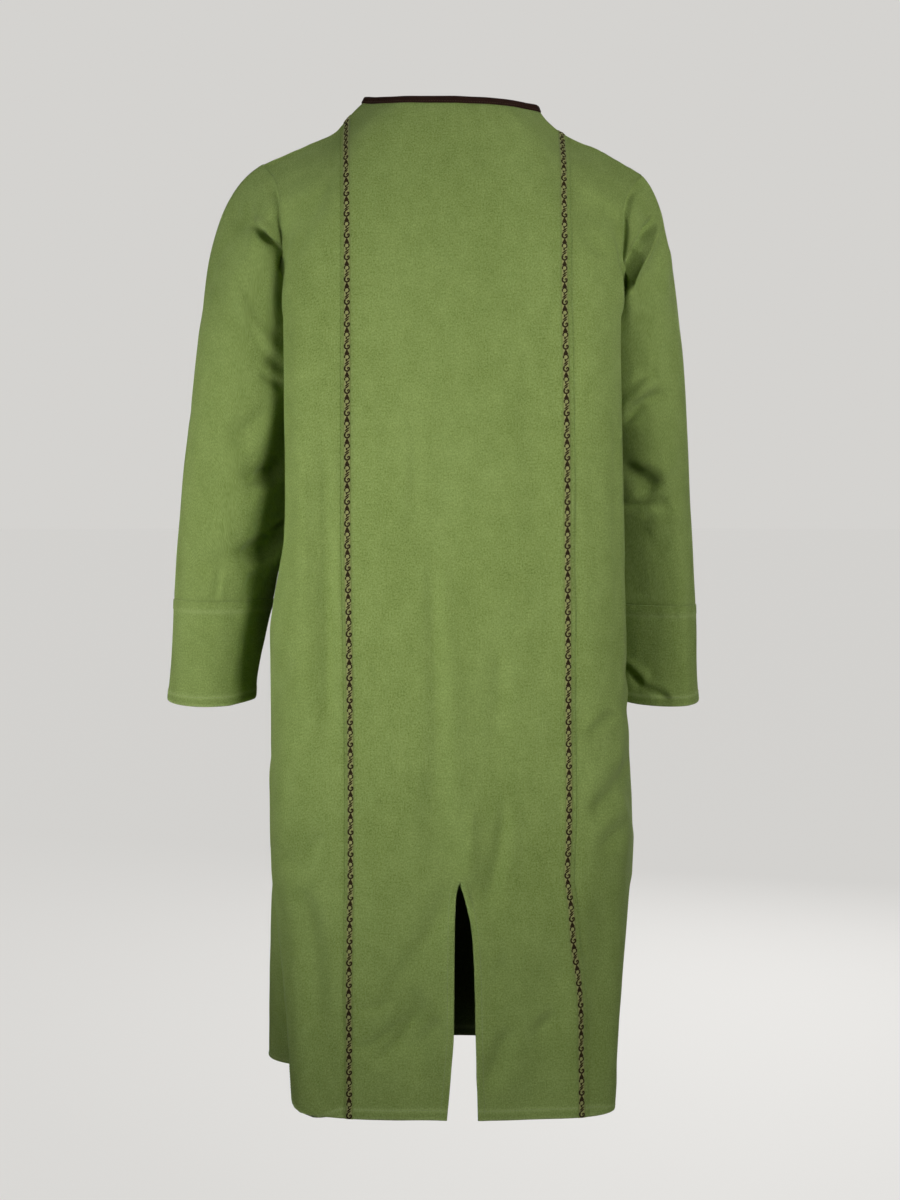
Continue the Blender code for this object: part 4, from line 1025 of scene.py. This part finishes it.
def makeBinding():
    ends = [signs[side] * body["neck" + side.capitalize()] / body["shoulder" + side.capitalize()]
            for side in ("right", "left")]
    places = []
    for face in (1, -1):
        s = np.linspace(*ends[::face], binding["along"] + 1)[:-1]
        level = neckShare(face, s)
        level[0] = 1.0
        point = bodyPoints(face, s, level)
        own, other = bodyNormals(face, s, level), bodyNormals(-face, s, level)
        normal = np.where((level >= 1.0)[:, None], unit(own + other), own)
        places.append((point - normal * pressedBody(point, normal)[:, None], normal))
    points, normals = (np.concatenate([place[k] for place in places]) for k in (0, 1))
    for _ in range(2):
        normals = unit(normals + 0.5 * (np.roll(normals, 1, axis=0) + np.roll(normals, -1, axis=0)))
    along = unit(np.roll(points, -1, axis=0) - np.roll(points, 1, axis=0))
    rise = unit(np.cross(along, normals))
    rise = rise * np.where(rise[:, 2:] < 0, -1.0, 1.0)
    rise = unit(rise + np.array((0.0, 0.0, binding["lift"])))
    section = np.array(binding["section"])
    high, out = section[:, 0] + body["seamGap"], section[:, 1]
    grid = points[:, None] + rise[:, None] * high[None, :, None] + normals[:, None] * out[None, :, None]
    rows, columns = grid.shape[:2]
    index = np.pad(np.arange(rows * columns).reshape(rows, columns), ((0, 1), (0, 1)), mode="wrap")
    far, tall = lengthAlong(points, closed=True), lengthAlong(section, closed=True)
    uvGrid = np.stack(np.broadcast_arrays(far[:, None], tall[None, :]), axis=-1)
    uvQuads = gridQuads(np.arange(len(far) * len(tall)).reshape(len(far), len(tall)))
    uv = uvGrid.reshape(-1, 2)[uvQuads.ravel()]
    # lighter along the top of the fold: wear and painted highlight
    masks = {"wornAndLit": np.tile(bell(high - 0.0085, 0.0012), rows), "seam": np.zeros(rows * columns)}
    item = meshOf("neck_binding_strip", grid.reshape(-1, 3), gridQuads(index), uv, masks, "brown_binding")
    line = points + rise * binding["stitchHigh"] + normals * binding["stitchOut"]
    runs["neck"].append(tuple(np.concatenate((values, values[:1])) for values in (line, normals)))
    return item


# Materials

class Wire:
    # an output of a shader or geometry node, with sums written on it

    def __init__(self, tree, socket=None):
        self.tree, self.socket = tree, socket

    def node(self, kind, settings=None, inputs=None, output=0):
        made = self.tree.nodes.new(kind)
        for name, value in (settings or {}).items():
            setattr(made, name, value)
        for name, value in (inputs or {}).items():
            if isinstance(value, Wire):
                self.tree.links.new(value.socket, made.inputs[name])
            else:
                made.inputs[name].default_value = value
        return Wire(self.tree, made.outputs[output])

    def maths(self, operation, *values):
        return self.node("ShaderNodeMath", {"operation": operation}, dict(enumerate(values)))

    def __add__(self, other):
        return self.maths("ADD", self, other)

    def __sub__(self, other):
        return self.maths("SUBTRACT", self, other)

    def __mul__(self, other):
        return self.maths("MULTIPLY", self, other)

    def __truediv__(self, other):
        return self.maths("DIVIDE", self, other)

    def __rsub__(self, other):
        return self.maths("SUBTRACT", other, self)

    __radd__, __rmul__ = __add__, __mul__

    def mixed(self, factor, low, high):
        return self.node("ShaderNodeMix", {"data_type": "RGBA"}, {0: factor, 6: low, 7: high}, 2)

    def blend(self, low, high):
        # colours mixed by this value
        return self.mixed(self, low, high)

    def spread(self, low, high, newLow=0.0, newHigh=1.0):
        return self.node("ShaderNodeMapRange", {}, {0: self, 1: low, 2: high, 3: newLow, 4: newHigh})


def newMaterial(name, own=None):
    # own are values set on the shader's own sockets
    material = bpy.data.materials.new(name)
    material.use_nodes = True
    shader = material.node_tree.nodes["Principled BSDF"]
    for socket, value in (own or {}).items():
        shader.inputs[socket].default_value = value
    return material, shader, Wire(material.node_tree)


def connect(start, shader, colour, roughness, bumps):
    # bumps are heights with their strengths and their distances in metres, laid one on the other
    start.tree.links.new(colour.socket, shader.inputs["Base Color"])
    start.tree.links.new(roughness.socket, shader.inputs["Roughness"])
    normal = None
    for height, strength, distance in bumps:
        inputs = {"Height": height, "Strength": strength, "Distance": distance}
        if normal:
            inputs["Normal"] = normal
        normal = start.node("ShaderNodeBump", {}, inputs)
    start.tree.links.new(normal.socket, shader.inputs["Normal"])


def noise(start, place, scale, detail, roughness=0.55):
    moved = start.node("ShaderNodeMapping", {}, {"Vector": place, "Scale": scale})
    inputs = {"Vector": moved, "Scale": 1.0, "Detail": detail, "Roughness": roughness}
    return start.node("ShaderNodeTexNoise", {}, inputs)


def clothPlace(start):
    # the piece's own map of the cloth, and its two distances in metres
    uvMap = start.node("ShaderNodeUVMap", {"uv_map": "cloth"})
    return uvMap, *(start.node("ShaderNodeSeparateXYZ", {}, {0: uvMap}, k) for k in (0, 1))


def objectPlace(start):
    return start.node("ShaderNodeTexCoord", output="Object")


def maskOf(start, name):
    return start.node("ShaderNodeAttribute", {"attribute_name": name}, output="Fac")


def weaveOf(start, u, v, pitch):
    # plain weave: height of the threads, and which of the two sets lies on top
    across, along = (start.maths("SINE", value * (math.pi / pitch)) for value in (u, v))
    over = start.maths("GREATER_THAN", across * along, 0.0)
    one, two = start.maths("ABSOLUTE", across), start.maths("ABSOLUTE", along)
    return over * one + (1.0 - over) * two, over


cotton = {
    "colour": (0.206, 0.278, 0.070, 1.0),
    "light": (0.280, 0.368, 0.115, 1.0),
    "rubbedAndLit": (0.330, 0.420, 0.150, 1.0),  # threads rubbed along the hems, with painted highlight along the edges
    "dark": (0.122, 0.175, 0.031, 1.0),
    "seamShadeColour": (0.087, 0.120, 0.028, 1.0),
    "pitch": 0.00052, "roughness": 0.88, "threadsBend": 0.0006, "plain": 0.12, "seamShade": 0.15,
    "shares": (0.25, 0.62, 0.14, 0.12), "shift": 0.065, "range": (0.37, 0.63),  # of the noises in the tone
    # noises: scale each way for a metre, detail and roughness
    "bend": ((160.0, 160.0, 160.0), 2.0), "warp": ((1500.0, 55.0, 1.0), 2.0),
    "weft": ((45.0, 1500.0, 1.0), 2.0), "grain": ((560.0, 460.0, 1.0), 2.0, 0.75),
    "mottle": ((55.0, 55.0, 38.0), 4.0, 0.6),
    "cloud": ((9.0, 9.0, 6.0), 3.0), "crumple": ((34.0, 34.0, 17.0), 3.0, 0.5),
    "fine": ((150.0, 150.0, 85.0), 3.0, 0.55),
    "own": {"Sheen Weight": 0.18, "Sheen Roughness": 0.5, "Sheen Tint": (0.62, 0.72, 0.40, 1.0),
            "Specular IOR Level": 0.22},
}


def cottonMaterial():
    material, shader, start = newMaterial("moss_cotton", cotton["own"])
    uvMap, u, v = clothPlace(start)
    place = objectPlace(start)
    bend, warp, weft, grain = (
        noise(start, uvMap, *cotton[name]) for name in ("bend", "warp", "weft", "grain"))
    mottle, cloud, crumple, fine = (
        noise(start, place, *cotton[name]) for name in ("mottle", "cloud", "crumple", "fine"))
    strayed = (bend - 0.5) * cotton["threadsBend"]
    threads, over = weaveOf(start, u + strayed, v + strayed, cotton["pitch"])
    slub = over * warp + (1.0 - over) * weft  # thick and thin threads
    ofSlub, ofGrain, ofMottle, ofCloud = cotton["shares"]
    tone = ofSlub * slub + ofGrain * grain + ofMottle * mottle + ofCloud * cloud - cotton["shift"]
    colour = tone.spread(*cotton["range"]).blend(cotton["dark"], cotton["light"])
    colour = start.mixed(cotton["plain"], colour, cotton["colour"])
    # lighter along hems and edges: rubbed threads and painted highlight
    rubbedAndLit = start.maths("MINIMUM", maskOf(start, "wornAndLit") * grain * 1.5, 1.0)
    colour = rubbedAndLit.blend(colour, cotton["rubbedAndLit"])
    # darker along the seams: painted shade in the seam grooves
    colour = (maskOf(start, "seam") * cotton["seamShade"]).blend(colour, cotton["seamShadeColour"])
    connect(start, shader, colour, cotton["roughness"] + (grain - 0.5) * 0.12, (
        (crumple, 0.55, 0.0035), (fine, 0.5, 0.0010), (grain, 0.35, 0.0003), (slub, 0.5, 0.00022),
        (threads, 0.55, 0.00016)))
    return material


bindingLook = {
    "colour": (0.017, 0.0048, 0.0019, 1.0), "light": (0.055, 0.018, 0.007, 1.0),
    "pitch": 0.0007, "roughness": 0.72,
    "slub": ((300.0, 900.0, 1.0), 3.0), "pucker": ((210.0, 30.0, 1.0), 2.0),
    "own": {"Sheen Weight": 0.02, "Sheen Roughness": 0.45, "Specular IOR Level": 0.15},
}


def bindingMaterial():
    material, shader, start = newMaterial("brown_binding", bindingLook["own"])
    uvMap, u, v = clothPlace(start)
    threads, over = weaveOf(start, u + v, u - v, bindingLook["pitch"])  # cut on the bias
    slub, pucker = (noise(start, uvMap, *bindingLook[name]) for name in ("slub", "pucker"))
    # lighter along the top of the fold: wear and painted highlight
    tone = slub * 0.5 + over * 0.12 + maskOf(start, "wornAndLit") * 0.4 - 0.22
    colour = tone.spread(0.0, 1.0).blend(bindingLook["colour"], bindingLook["light"])
    connect(start, shader, colour, bindingLook["roughness"] + (slub - 0.5) * 0.2, (
        (pucker, 0.6, 0.0007), (slub, 0.5, 0.0003), (threads, 0.6, 0.00025)))
    return material


braidLook = {
    "ground": (0.345, 0.345, 0.130, 1.0), "groundDark": (0.225, 0.235, 0.075, 1.0),
    "edge": (0.176, 0.232, 0.058, 1.0), "edgeFrom": 0.0024, "edgeTo": 0.0034,
    "figure": (0.012, 0.007, 0.002, 1.0), "figureLight": (0.040, 0.024, 0.008, 1.0),
    "pitch": 0.00038, "groundRoughness": 0.82, "figureRoughness": 0.68,
    "slub": ((1100.0, 260.0, 1.0), 3.0), "figureSlub": ((1300.0, 1300.0, 1300.0), 2.0),
    "ridges": ((400.0, 400.0, 2600.0), 1.0),
    "groundOwn": {"Sheen Weight": 0.12, "Specular IOR Level": 0.25},
    "figureOwn": {"Specular IOR Level": 0.12},
}


def braidGroundMaterial():
    material, shader, start = newMaterial("braid_ground", braidLook["groundOwn"])
    uvMap, u, v = clothPlace(start)
    threads, over = weaveOf(start, u, v, braidLook["pitch"])
    slub = noise(start, uvMap, *braidLook["slub"])
    tone = slub * 0.8 + over * 0.1 - 0.1
    colour = tone.spread(0.1, 0.5).blend(braidLook["groundDark"], braidLook["ground"])
    edge = start.maths("ABSOLUTE", u).spread(braidLook["edgeFrom"], braidLook["edgeTo"])
    colour = edge.blend(colour, braidLook["edge"])
    connect(start, shader, colour, braidLook["groundRoughness"] + (slub - 0.5) * 0.15, (
        (slub, 0.5, 0.0003), (threads, 0.6, 0.0002)))
    return material


def braidFigureMaterial():
    material, shader, start = newMaterial("braid_figure", braidLook["figureOwn"])
    place = objectPlace(start)
    slub, ridges = (noise(start, place, *braidLook[name]) for name in ("figureSlub", "ridges"))
    colour = slub.spread(0.35, 0.7).blend(braidLook["figure"], braidLook["figureLight"])
    connect(start, shader, colour, braidLook["figureRoughness"] + (slub - 0.5) * 0.2, (
        (ridges, 0.6, 0.0002),))
    return material


def darker(colour, share):
    return tuple(part * share for part in colour[:3]) + (1.0,)


threadLook = {
    "green": (0.235, 0.300, 0.115, 1.0), "brown": (0.055, 0.022, 0.012, 1.0),
    "twist": ((2600.0, 2600.0, 2600.0), 1.0), "roughness": 0.6,
}


def threadMaterial(name):
    material, shader, start = newMaterial(name + "_thread")
    twist = noise(start, objectPlace(start), *threadLook["twist"])
    colour = twist.spread(0.3, 0.7).blend(darker(threadLook[name], 0.7), threadLook[name])
    connect(start, shader, colour, threadLook["roughness"] + (twist - 0.5) * 0.1, ((twist, 0.4, 0.0001),))
    return material


# Small things that follow a path: stitches, and the figures woven on the braids

def pathTree():
    # sets a shape along a path every so often, facing the way the path's points say
    tree = bpy.data.node_groups.new("setAlongPath", "GeometryNodeTree")
    for name, kind in (("Geometry", "Geometry"), ("Shape", "Object"), ("Pitch", "Float"), ("Start", "Float"),
                       ("Loose", "Float"), ("Seed", "Int"), ("Finish", "Material")):
        tree.interface.new_socket(name, in_out="INPUT", socket_type="NodeSocket" + kind)
    tree.interface.new_socket("Geometry", in_out="OUTPUT", socket_type="NodeSocketGeometry")
    start = Wire(tree)
    given = tree.nodes.new("NodeGroupInput")
    asked = {socket.name: Wire(tree, socket) for socket in given.outputs if socket.name}
    curve = start.node("GeometryNodeMeshToCurve", {}, {0: asked["Geometry"]})
    length = start.node("GeometryNodeCurveLength", {}, {0: curve})
    count = start.maths("FLOOR", (length - asked["Start"]) / asked["Pitch"]) + 1.0
    points = start.node("GeometryNodePoints", {}, {"Count": count})
    facing = start.node("GeometryNodeInputNamedAttribute", {"data_type": "FLOAT_VECTOR"}, {"Name": "facing"})
    far = start.node("GeometryNodeInputIndex") * asked["Pitch"] + asked["Start"]
    sample = tree.nodes.new("GeometryNodeSampleCurve")
    sample.mode, sample.use_all_curves, sample.data_type = "LENGTH", True, "FLOAT_VECTOR"
    valueIn, valueOut = (next(socket for socket in sockets if socket.name == "Value" and socket.enabled)
                         for sockets in (sample.inputs, sample.outputs))
    for wire, socket in ((curve, sample.inputs["Curves"]), (facing, valueIn), (far, sample.inputs["Length"])):
        tree.links.new(wire.socket, socket)
    value, position, tangent = (Wire(tree, socket) for socket in (
        valueOut, sample.outputs["Position"], sample.outputs["Tangent"]))

    def strayed(seed):
        return start.node("FunctionNodeRandomValue", {"data_type": "FLOAT"}, {2: -1.0, 3: 1.0, 8: seed}, 1)

    axes = {"primary_axis": "Z", "secondary_axis": "Y"}
    turn = start.node("FunctionNodeAxesToRotation", axes, {0: value, 1: tangent})
    spin = start.node("ShaderNodeCombineXYZ", {}, {"Z": strayed(asked["Seed"]) * asked["Loose"]})
    spin = start.node("FunctionNodeEulerToRotation", {}, {0: spin})
    spun = start.node("FunctionNodeRotateRotation", {"rotation_space": "LOCAL"}, {0: turn, 1: spin})
    size = 1.0 + strayed(asked["Seed"] + 7.0) * asked["Loose"]
    placed = start.node("GeometryNodeSetPosition", {}, {0: points, "Position": position})
    shape = start.node("GeometryNodeObjectInfo", {}, {"Object": asked["Shape"]}, "Geometry")
    inputs = {"Points": placed, "Instance": shape, "Rotation": spun, "Scale": size}
    copies = start.node("GeometryNodeInstanceOnPoints", {}, inputs)
    real = start.node("GeometryNodeRealizeInstances", {}, {0: copies})
    made = start.node("GeometryNodeSetMaterial", {}, {0: real, "Material": asked["Finish"]})
    tree.links.new(made.socket, tree.nodes.new("NodeGroupOutput").inputs[0])
    return tree


def setAlong(name, lines, shape, pitch, first, loose, seed, look):
    # lines are pairs of points and normals; the result is one plain mesh
    points, normals = (np.concatenate([line[k] for line in lines]).astype(np.float32) for k in (0, 1))
    lineEnds = np.cumsum([len(line[0]) for line in lines]) - 1
    starts = np.setdiff1d(np.arange(len(points)), lineEnds)
    data = bpy.data.meshes.new(name + "_path")
    data.vertices.add(len(points))
    data.vertices.foreach_set("co", points.ravel())
    data.edges.add(len(starts))
    data.edges.foreach_set("vertices", np.stack((starts, starts + 1), axis=-1).astype(np.int32).ravel())
    data.attributes.new("facing", "FLOAT_VECTOR", "POINT").data.foreach_set("vector", normals.ravel())
    path = addObject(name + "_path", data)
    modifier = path.modifiers.new("setAlongPath", "NODES")
    modifier.node_group = followPath
    given = {"Shape": shape, "Pitch": pitch, "Start": first, "Loose": loose, "Seed": seed,
             "Finish": materials[look]}
    for socket in followPath.interface.items_tree:
        if socket.in_out == "INPUT" and socket.name in given:
            modifier[socket.identifier] = given[socket.name]
    bpy.context.view_layer.update()
    mesh = bpy.data.meshes.new_from_object(path.evaluated_get(bpy.context.evaluated_depsgraph_get()))
    bpy.data.objects.remove(path)
    return mesh


def joined(name, meshes, look):
    mesh = bmesh.new()
    for data in meshes:
        mesh.from_mesh(data)
    for face in mesh.faces:
        face.material_index = 0
    data = bpy.data.meshes.new(name)
    mesh.to_mesh(data)
    mesh.free()
    data.materials.append(materials[look])
    data.shade_smooth()
    for attribute in [item.name for item in data.attributes if item.name in ("facing", "cloth")]:
        data.attributes.remove(data.attributes[attribute])
    for used in meshes:
        bpy.data.meshes.remove(used)
    return addObject(name, data)


def loftShape(name, rings):
    # rings with as many points each, joined one to the next and closed at both ends
    around, last = len(rings[0]), (len(rings) - 1) * len(rings[0])
    faces = [(r + c, r + (c + 1) % around, r + around + (c + 1) % around, r + around + c)
             for r in range(0, last, around) for c in range(around)]
    faces += [tuple(range(around)), tuple(range(last, last + around))]
    data = bpy.data.meshes.new(name)
    data.from_pydata([tuple(point) for ring in rings for point in ring], [], faces)
    mesh = bmesh.new()
    mesh.from_mesh(data)
    bmesh.ops.recalc_face_normals(mesh, faces=mesh.faces)
    mesh.to_mesh(data)
    mesh.free()
    data.shade_smooth()
    return addObject(name, data)


stitch = {
    "long": 0.0024, "thick": 0.00050, "high": 0.00042, "pitch": 0.0031, "first": 0.001, "loose": 0.08,
    "rings": (0.0, 0.18, 0.5, 0.82, 1.0),  # shares of the length
    # section: shares of the thickness and of the height
    "section": ((-0.5, -0.4), (-0.32, 0.2), (0.0, 0.45), (0.32, 0.2), (0.5, -0.4)),
}


def stitchShape():
    # one visible stitch, dipping into the cloth at both ends
    rings, high = [], stitch["high"]
    for share in stitch["rings"]:
        arch = math.sin(math.pi * share)
        rise, wide = high * arch ** 0.7 - high * 0.35, stitch["thick"] * (0.6 + 0.4 * arch)
        y = (share - 0.5) * stitch["long"]
        rings.append([(wide * across, y, rise + high * up) for across, up in stitch["section"]])
    return loftShape("stitch_shape", rings)


# Braids

trim = {
    "repeat": 0.0256, "lift": 0.00045, "hemSlope": 0.003, "figureHigh": 0.00034, "loose": 0.02, "seed": 3,
    # section of the ribbon: distance across and raise
    "across": (-0.0045, -0.0040, -0.0014, 0.0014, 0.0040, 0.0045),
    "raise": (-0.0002, 0.0002, 0.0004, 0.0004, 0.0002, -0.0002),
    "under": 0.00012,
    # section of a figure's stroke: shares of its width and of its height
    "stroke": ((0.5, -1.0), (0.5, 0.5), (0.30, 1.0), (-0.30, 1.0), (-0.5, 0.5), (-0.5, -1.0)),
}


def strokeShape(name, line, widths):
    # a flat raised stroke along a drawn line, millimetres in
    line, widths = np.array(line, float) / 1000, np.array(widths, float) / 1000
    along = unit(np.gradient(line, axis=0))
    side = np.stack((-along[:, 1], along[:, 0]), axis=-1)
    rings = []
    for place, across, wide in zip(line, side, widths):
        rings.append([(*(place + across * wide * share), trim["figureHigh"] * up)
                      for share, up in trim["stroke"]])
    return loftShape(name, rings)


def arcLine(radius, start, end, count):
    angles = [math.radians(start + (end - start) * k / count) for k in range(count + 1)]
    return [(radius * math.cos(angle), radius * math.sin(angle)) for angle in angles]


def figureShapes():
    # one repeat, in millimetres: drawn line, widths along it, and place up the braid from the repeat's middle
    figures = {
        "triangle": ([(0, 2.9), (0, 1.5), (0, 0.0), (0, -1.5), (0, -2.7)], [0.8, 2.3, 3.8, 5.2, 5.9], 10.2),
        "hook": (arcLine(2.75, 215, -85, 14) + [(-0.85, -2.9), (-1.8, -2.3)],
                 [1.0] + [1.4] * 12 + [1.3] * 2 + [1.1, 0.8], 4.6),
        "dot": ([(-0.6, 0.9), (-0.6, 0.0), (-0.6, -0.9)], [1.3, 2.2, 1.3], 0.3),
        "leaf_upper": ([(-2.5, -1.9), (-0.9, -0.8), (0.8, 0.6), (2.8, 2.1)], [0.8, 1.7, 1.7, 0.6], -1.9),
        "leaf_lower": ([(-2.8, -2.1), (-1.1, -0.9), (0.6, 0.4), (2.4, 1.8)], [0.8, 1.6, 1.6, 0.6], -4.3),
        "cup": ([(-1.1, 1.4), (-2.1, 2.2), (-2.8, 1.5)] + arcLine(2.75, 170, 385, 12)
                + [(1.3, 1.5), (0.5, 0.5), (1.0, -0.6)],
                [0.9, 1.4, 1.8] + [1.9] * 13 + [1.6, 1.4, 0.9], -9.0),
    }
    return [(strokeShape("braid_" + name, line, widths), place / 1000)
            for name, (line, widths, place) in figures.items()]


def makeBraid(side, shapes):
    level, offsets = backLevels, np.array(trim["across"])
    lifts = np.array(trim["raise"]) + trim["lift"]
    shares = np.stack([braidShare(side, level, offset) for offset in offsets], axis=1)[:, ::int(signs[side])]
    points, normals = bodyGrid(1, shares, level)
    above = (body["underarm"] + level - body["backHem"])[:, None]
    hem = clothWall["hemRaise"] * (1 - ramp(above, clothWall["hemDeep"], trim["hemSlope"]))
    outer, inner = (points + normals * (raised + hem)[..., None] for raised in (lifts, trim["under"]))
    count = shares.size
    index = np.arange(count).reshape(shares.shape)
    quads = gridQuads(index)[:, ::-1]
    faces = [quads, quads[:, ::-1] + count]
    for line in (index[:, 0], index[::-1, -1], index[0, ::-1], index[-1]):
        faces.append(np.stack((line[:-1], line[1:], line[1:] + count, line[:-1] + count), axis=-1))
    faces = np.concatenate(faces)
    uv = np.stack((np.broadcast_to(offsets, shares.shape), arcs(points, 0)), axis=-1).reshape(-1, 2)
    both = np.concatenate((outer.reshape(-1, 3), inner.reshape(-1, 3)))
    ribbon = meshOf("trim_" + side + "_ribbon", both, faces, np.tile(uv, (2, 1))[faces.ravel()],
                    {"wornAndLit": np.zeros(2 * count)}, "braid_ground")
    middle = (outer[:, 2] + outer[:, 3]) / 2, unit(normals[:, 2] + normals[:, 3])
    meshes = []
    for shape, place in shapes:
        first = (trim["repeat"] / 2 + place) % trim["repeat"]
        meshes.append(setAlong("figure", [middle], shape, trim["repeat"], first, trim["loose"], trim["seed"],
                               "braid_figure"))
    return ribbon, joined("trim_" + side + "_figures", meshes, "braid_figure")


# The whole garment

materials = {
    "moss_cotton": cottonMaterial(), "brown_binding": bindingMaterial(),
    "braid_ground": braidGroundMaterial(), "braid_figure": braidFigureMaterial(),
    "green_thread": threadMaterial("green"), "brown_thread": threadMaterial("brown"),
}
print("materials ready")

pieces = {"back_centre": makeBackCentre()}
print("centre back made")
for side in signs:
    pieces["back_side_" + side] = makeBackSide(side)
pieces["front"] = makeFront()
print("side backs and front made")
for side in signs:
    pieces["sleeve_" + side] = makeSleeve(side)
    pieces["cuff_" + side] = makeCuff(side)
print("sleeves and cuffs made")
pieces["neck_binding"] = makeBinding()

followPath = pathTree()
shapes = figureShapes()
figures = {}
for side in signs:
    pieces["trim_" + side], figures[side] = makeBraid(side, shapes)
print("braids made")

oneStitch = stitchShape()
stitches = {}
for group, colour, seed in (("body", "green", 5), ("sleeves", "green", 6), ("neck", "brown", 7)):
    look = colour + "_thread"
    spacing = [stitch[name] for name in ("pitch", "first", "loose")]
    mesh = setAlong(group, runs[group], oneStitch, *spacing, seed, look)
    stitches[group] = joined(group + "_stitches", [mesh], look)
print("stitches made")
for item in [shape for shape, _ in shapes] + [oneStitch]:
    bpy.data.objects.remove(item)


# What each piece rides on and replaces, and the cut of the cloth

cuts = {  # width and length of each piece's cut, laid flat, and what it rests on
    "back_centre": (0.310, 1.215, ["front_cloth"]),
    "back_side_left": (0.240, 1.180, ["back_centre_cloth"]),
    "back_side_right": (0.225, 1.180, ["back_centre_cloth"]),
    "front": (0.700, 1.190, ["back_centre_cloth"]),
    "sleeve_left": (0.420, 0.560, ["back_side_left_cloth", "front_cloth"]),
    "sleeve_right": (0.410, 0.560, ["back_side_right_cloth", "front_cloth"]),
    "cuff_left": (0.350, 0.140, ["sleeve_left_cloth"]),
    "cuff_right": (0.350, 0.140, ["sleeve_right_cloth"]),
}
for node, item in pieces.items():
    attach(item, "root")
    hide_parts(node)
for item, slotName in ((figures["left"], "brown_braid"), (figures["right"], "brown_braid"),
                       (stitches["body"], "moss_cotton"), (stitches["sleeves"], "moss_cotton"),
                       (stitches["neck"], "brown_binding")):
    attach(item, "root")
for node, (width, length, under) in cuts.items():
    item = pieces[node]
    print(node, "area", round(item["area"], 4), "measures", round(item["wide"], 3), round(item["long"], 3))


# Floor, light and camera

studio = {
    "floor": -1.62, "floorWide": 60.0, "floorColour": (0.12, 0.118, 0.116, 1.0), "floorGlow": 0.98,
    "sky": (0.66, 0.65, 0.63, 1.0), "ambient": 0.012,
    "lights": (  # name, place, aim, size, spread in degrees, power
        ("key", (1.9, 2.6, -0.30), (0.0, 0.0, -0.50), 1.0, 180, 7.8),
        ("left beam", (2.9, 1.7, -0.30), (0.0, 0.0, -0.525), 1.0, 26, 2.95),
        ("right beam", (-1.9, 2.6, -0.30), (0.0, 0.0, -0.54), 1.0, 26, 0.53),
        ("right", (-1.8, 2.5, 0.30), (0.0, 0.0, -0.50), 1.0, 180, 45.5),
        ("rim", (-2.6, 1.4, 0.70), (-0.22, 0.0, -0.02), 0.8, 30, 0.68),
        ("front", (-0.9, -3.0, 0.10), (0.0, 0.0, -0.60), 1.4, 180, 60.0),
    ),
    "camera": (0.0061, 2.58, -0.411), "lookDown": 4.03, "film": 36.0, "lens": 63.9,
}


def makeFloor():
    bpy.ops.mesh.primitive_plane_add(size=studio["floorWide"], location=(0.0, 0.0, studio["floor"]))
    floor = bpy.context.object
    floor.name = "floor"
    own = {"Roughness": 0.8, "Emission Color": studio["sky"], "Emission Strength": studio["floorGlow"]}
    material, shader, start = newMaterial("pale_floor", own)
    tone = noise(start, objectPlace(start), (3.0, 3.0, 3.0), 3.0).spread(0.3, 0.7)
    colour = tone.blend(darker(studio["floorColour"], 0.985), studio["floorColour"])
    start.tree.links.new(colour.socket, shader.inputs["Base Color"])
    floor.data.materials.append(material)
    floor.visible_diffuse = floor.visible_glossy = False  # a pale floor that throws no light back up


def makeLights():
    for name, place, aim, size, spread, power in studio["lights"]:
        data = bpy.data.lights.new(name, "AREA")
        data.shape, data.size, data.spread, data.energy = "DISK", size, math.radians(spread), power
        lamp = addObject(name, data)
        lamp.location = place
        lamp.rotation_euler = (Vector(aim) - Vector(place)).to_track_quat("-Z", "Y").to_euler()
    world = bpy.data.worlds.new("studio")
    bpy.context.scene.world = world
    world.use_nodes = True
    start, background = Wire(world.node_tree), world.node_tree.nodes["Background"]
    seen = start.node("ShaderNodeLightPath", output="Is Camera Ray").spread(0.0, 1.0, studio["ambient"], 1.0)
    world.node_tree.links.new(seen.socket, background.inputs["Strength"])
    background.inputs["Color"].default_value = studio["sky"]


def makeCamera():
    camera = addObject("camera", bpy.data.cameras.new("camera"))
    camera.data.sensor_fit = "VERTICAL"
    camera.data.sensor_height = studio["film"]
    camera.data.lens = studio["lens"]
    camera.location = studio["camera"]
    camera.rotation_euler = (math.radians(90 - studio["lookDown"]), 0.0, math.pi)
    bpy.context.scene.camera = camera
    bpy.context.scene.view_settings.view_transform = "Standard"


makeFloor()
makeLights()
makeCamera()
bpy.context.view_layer.update()
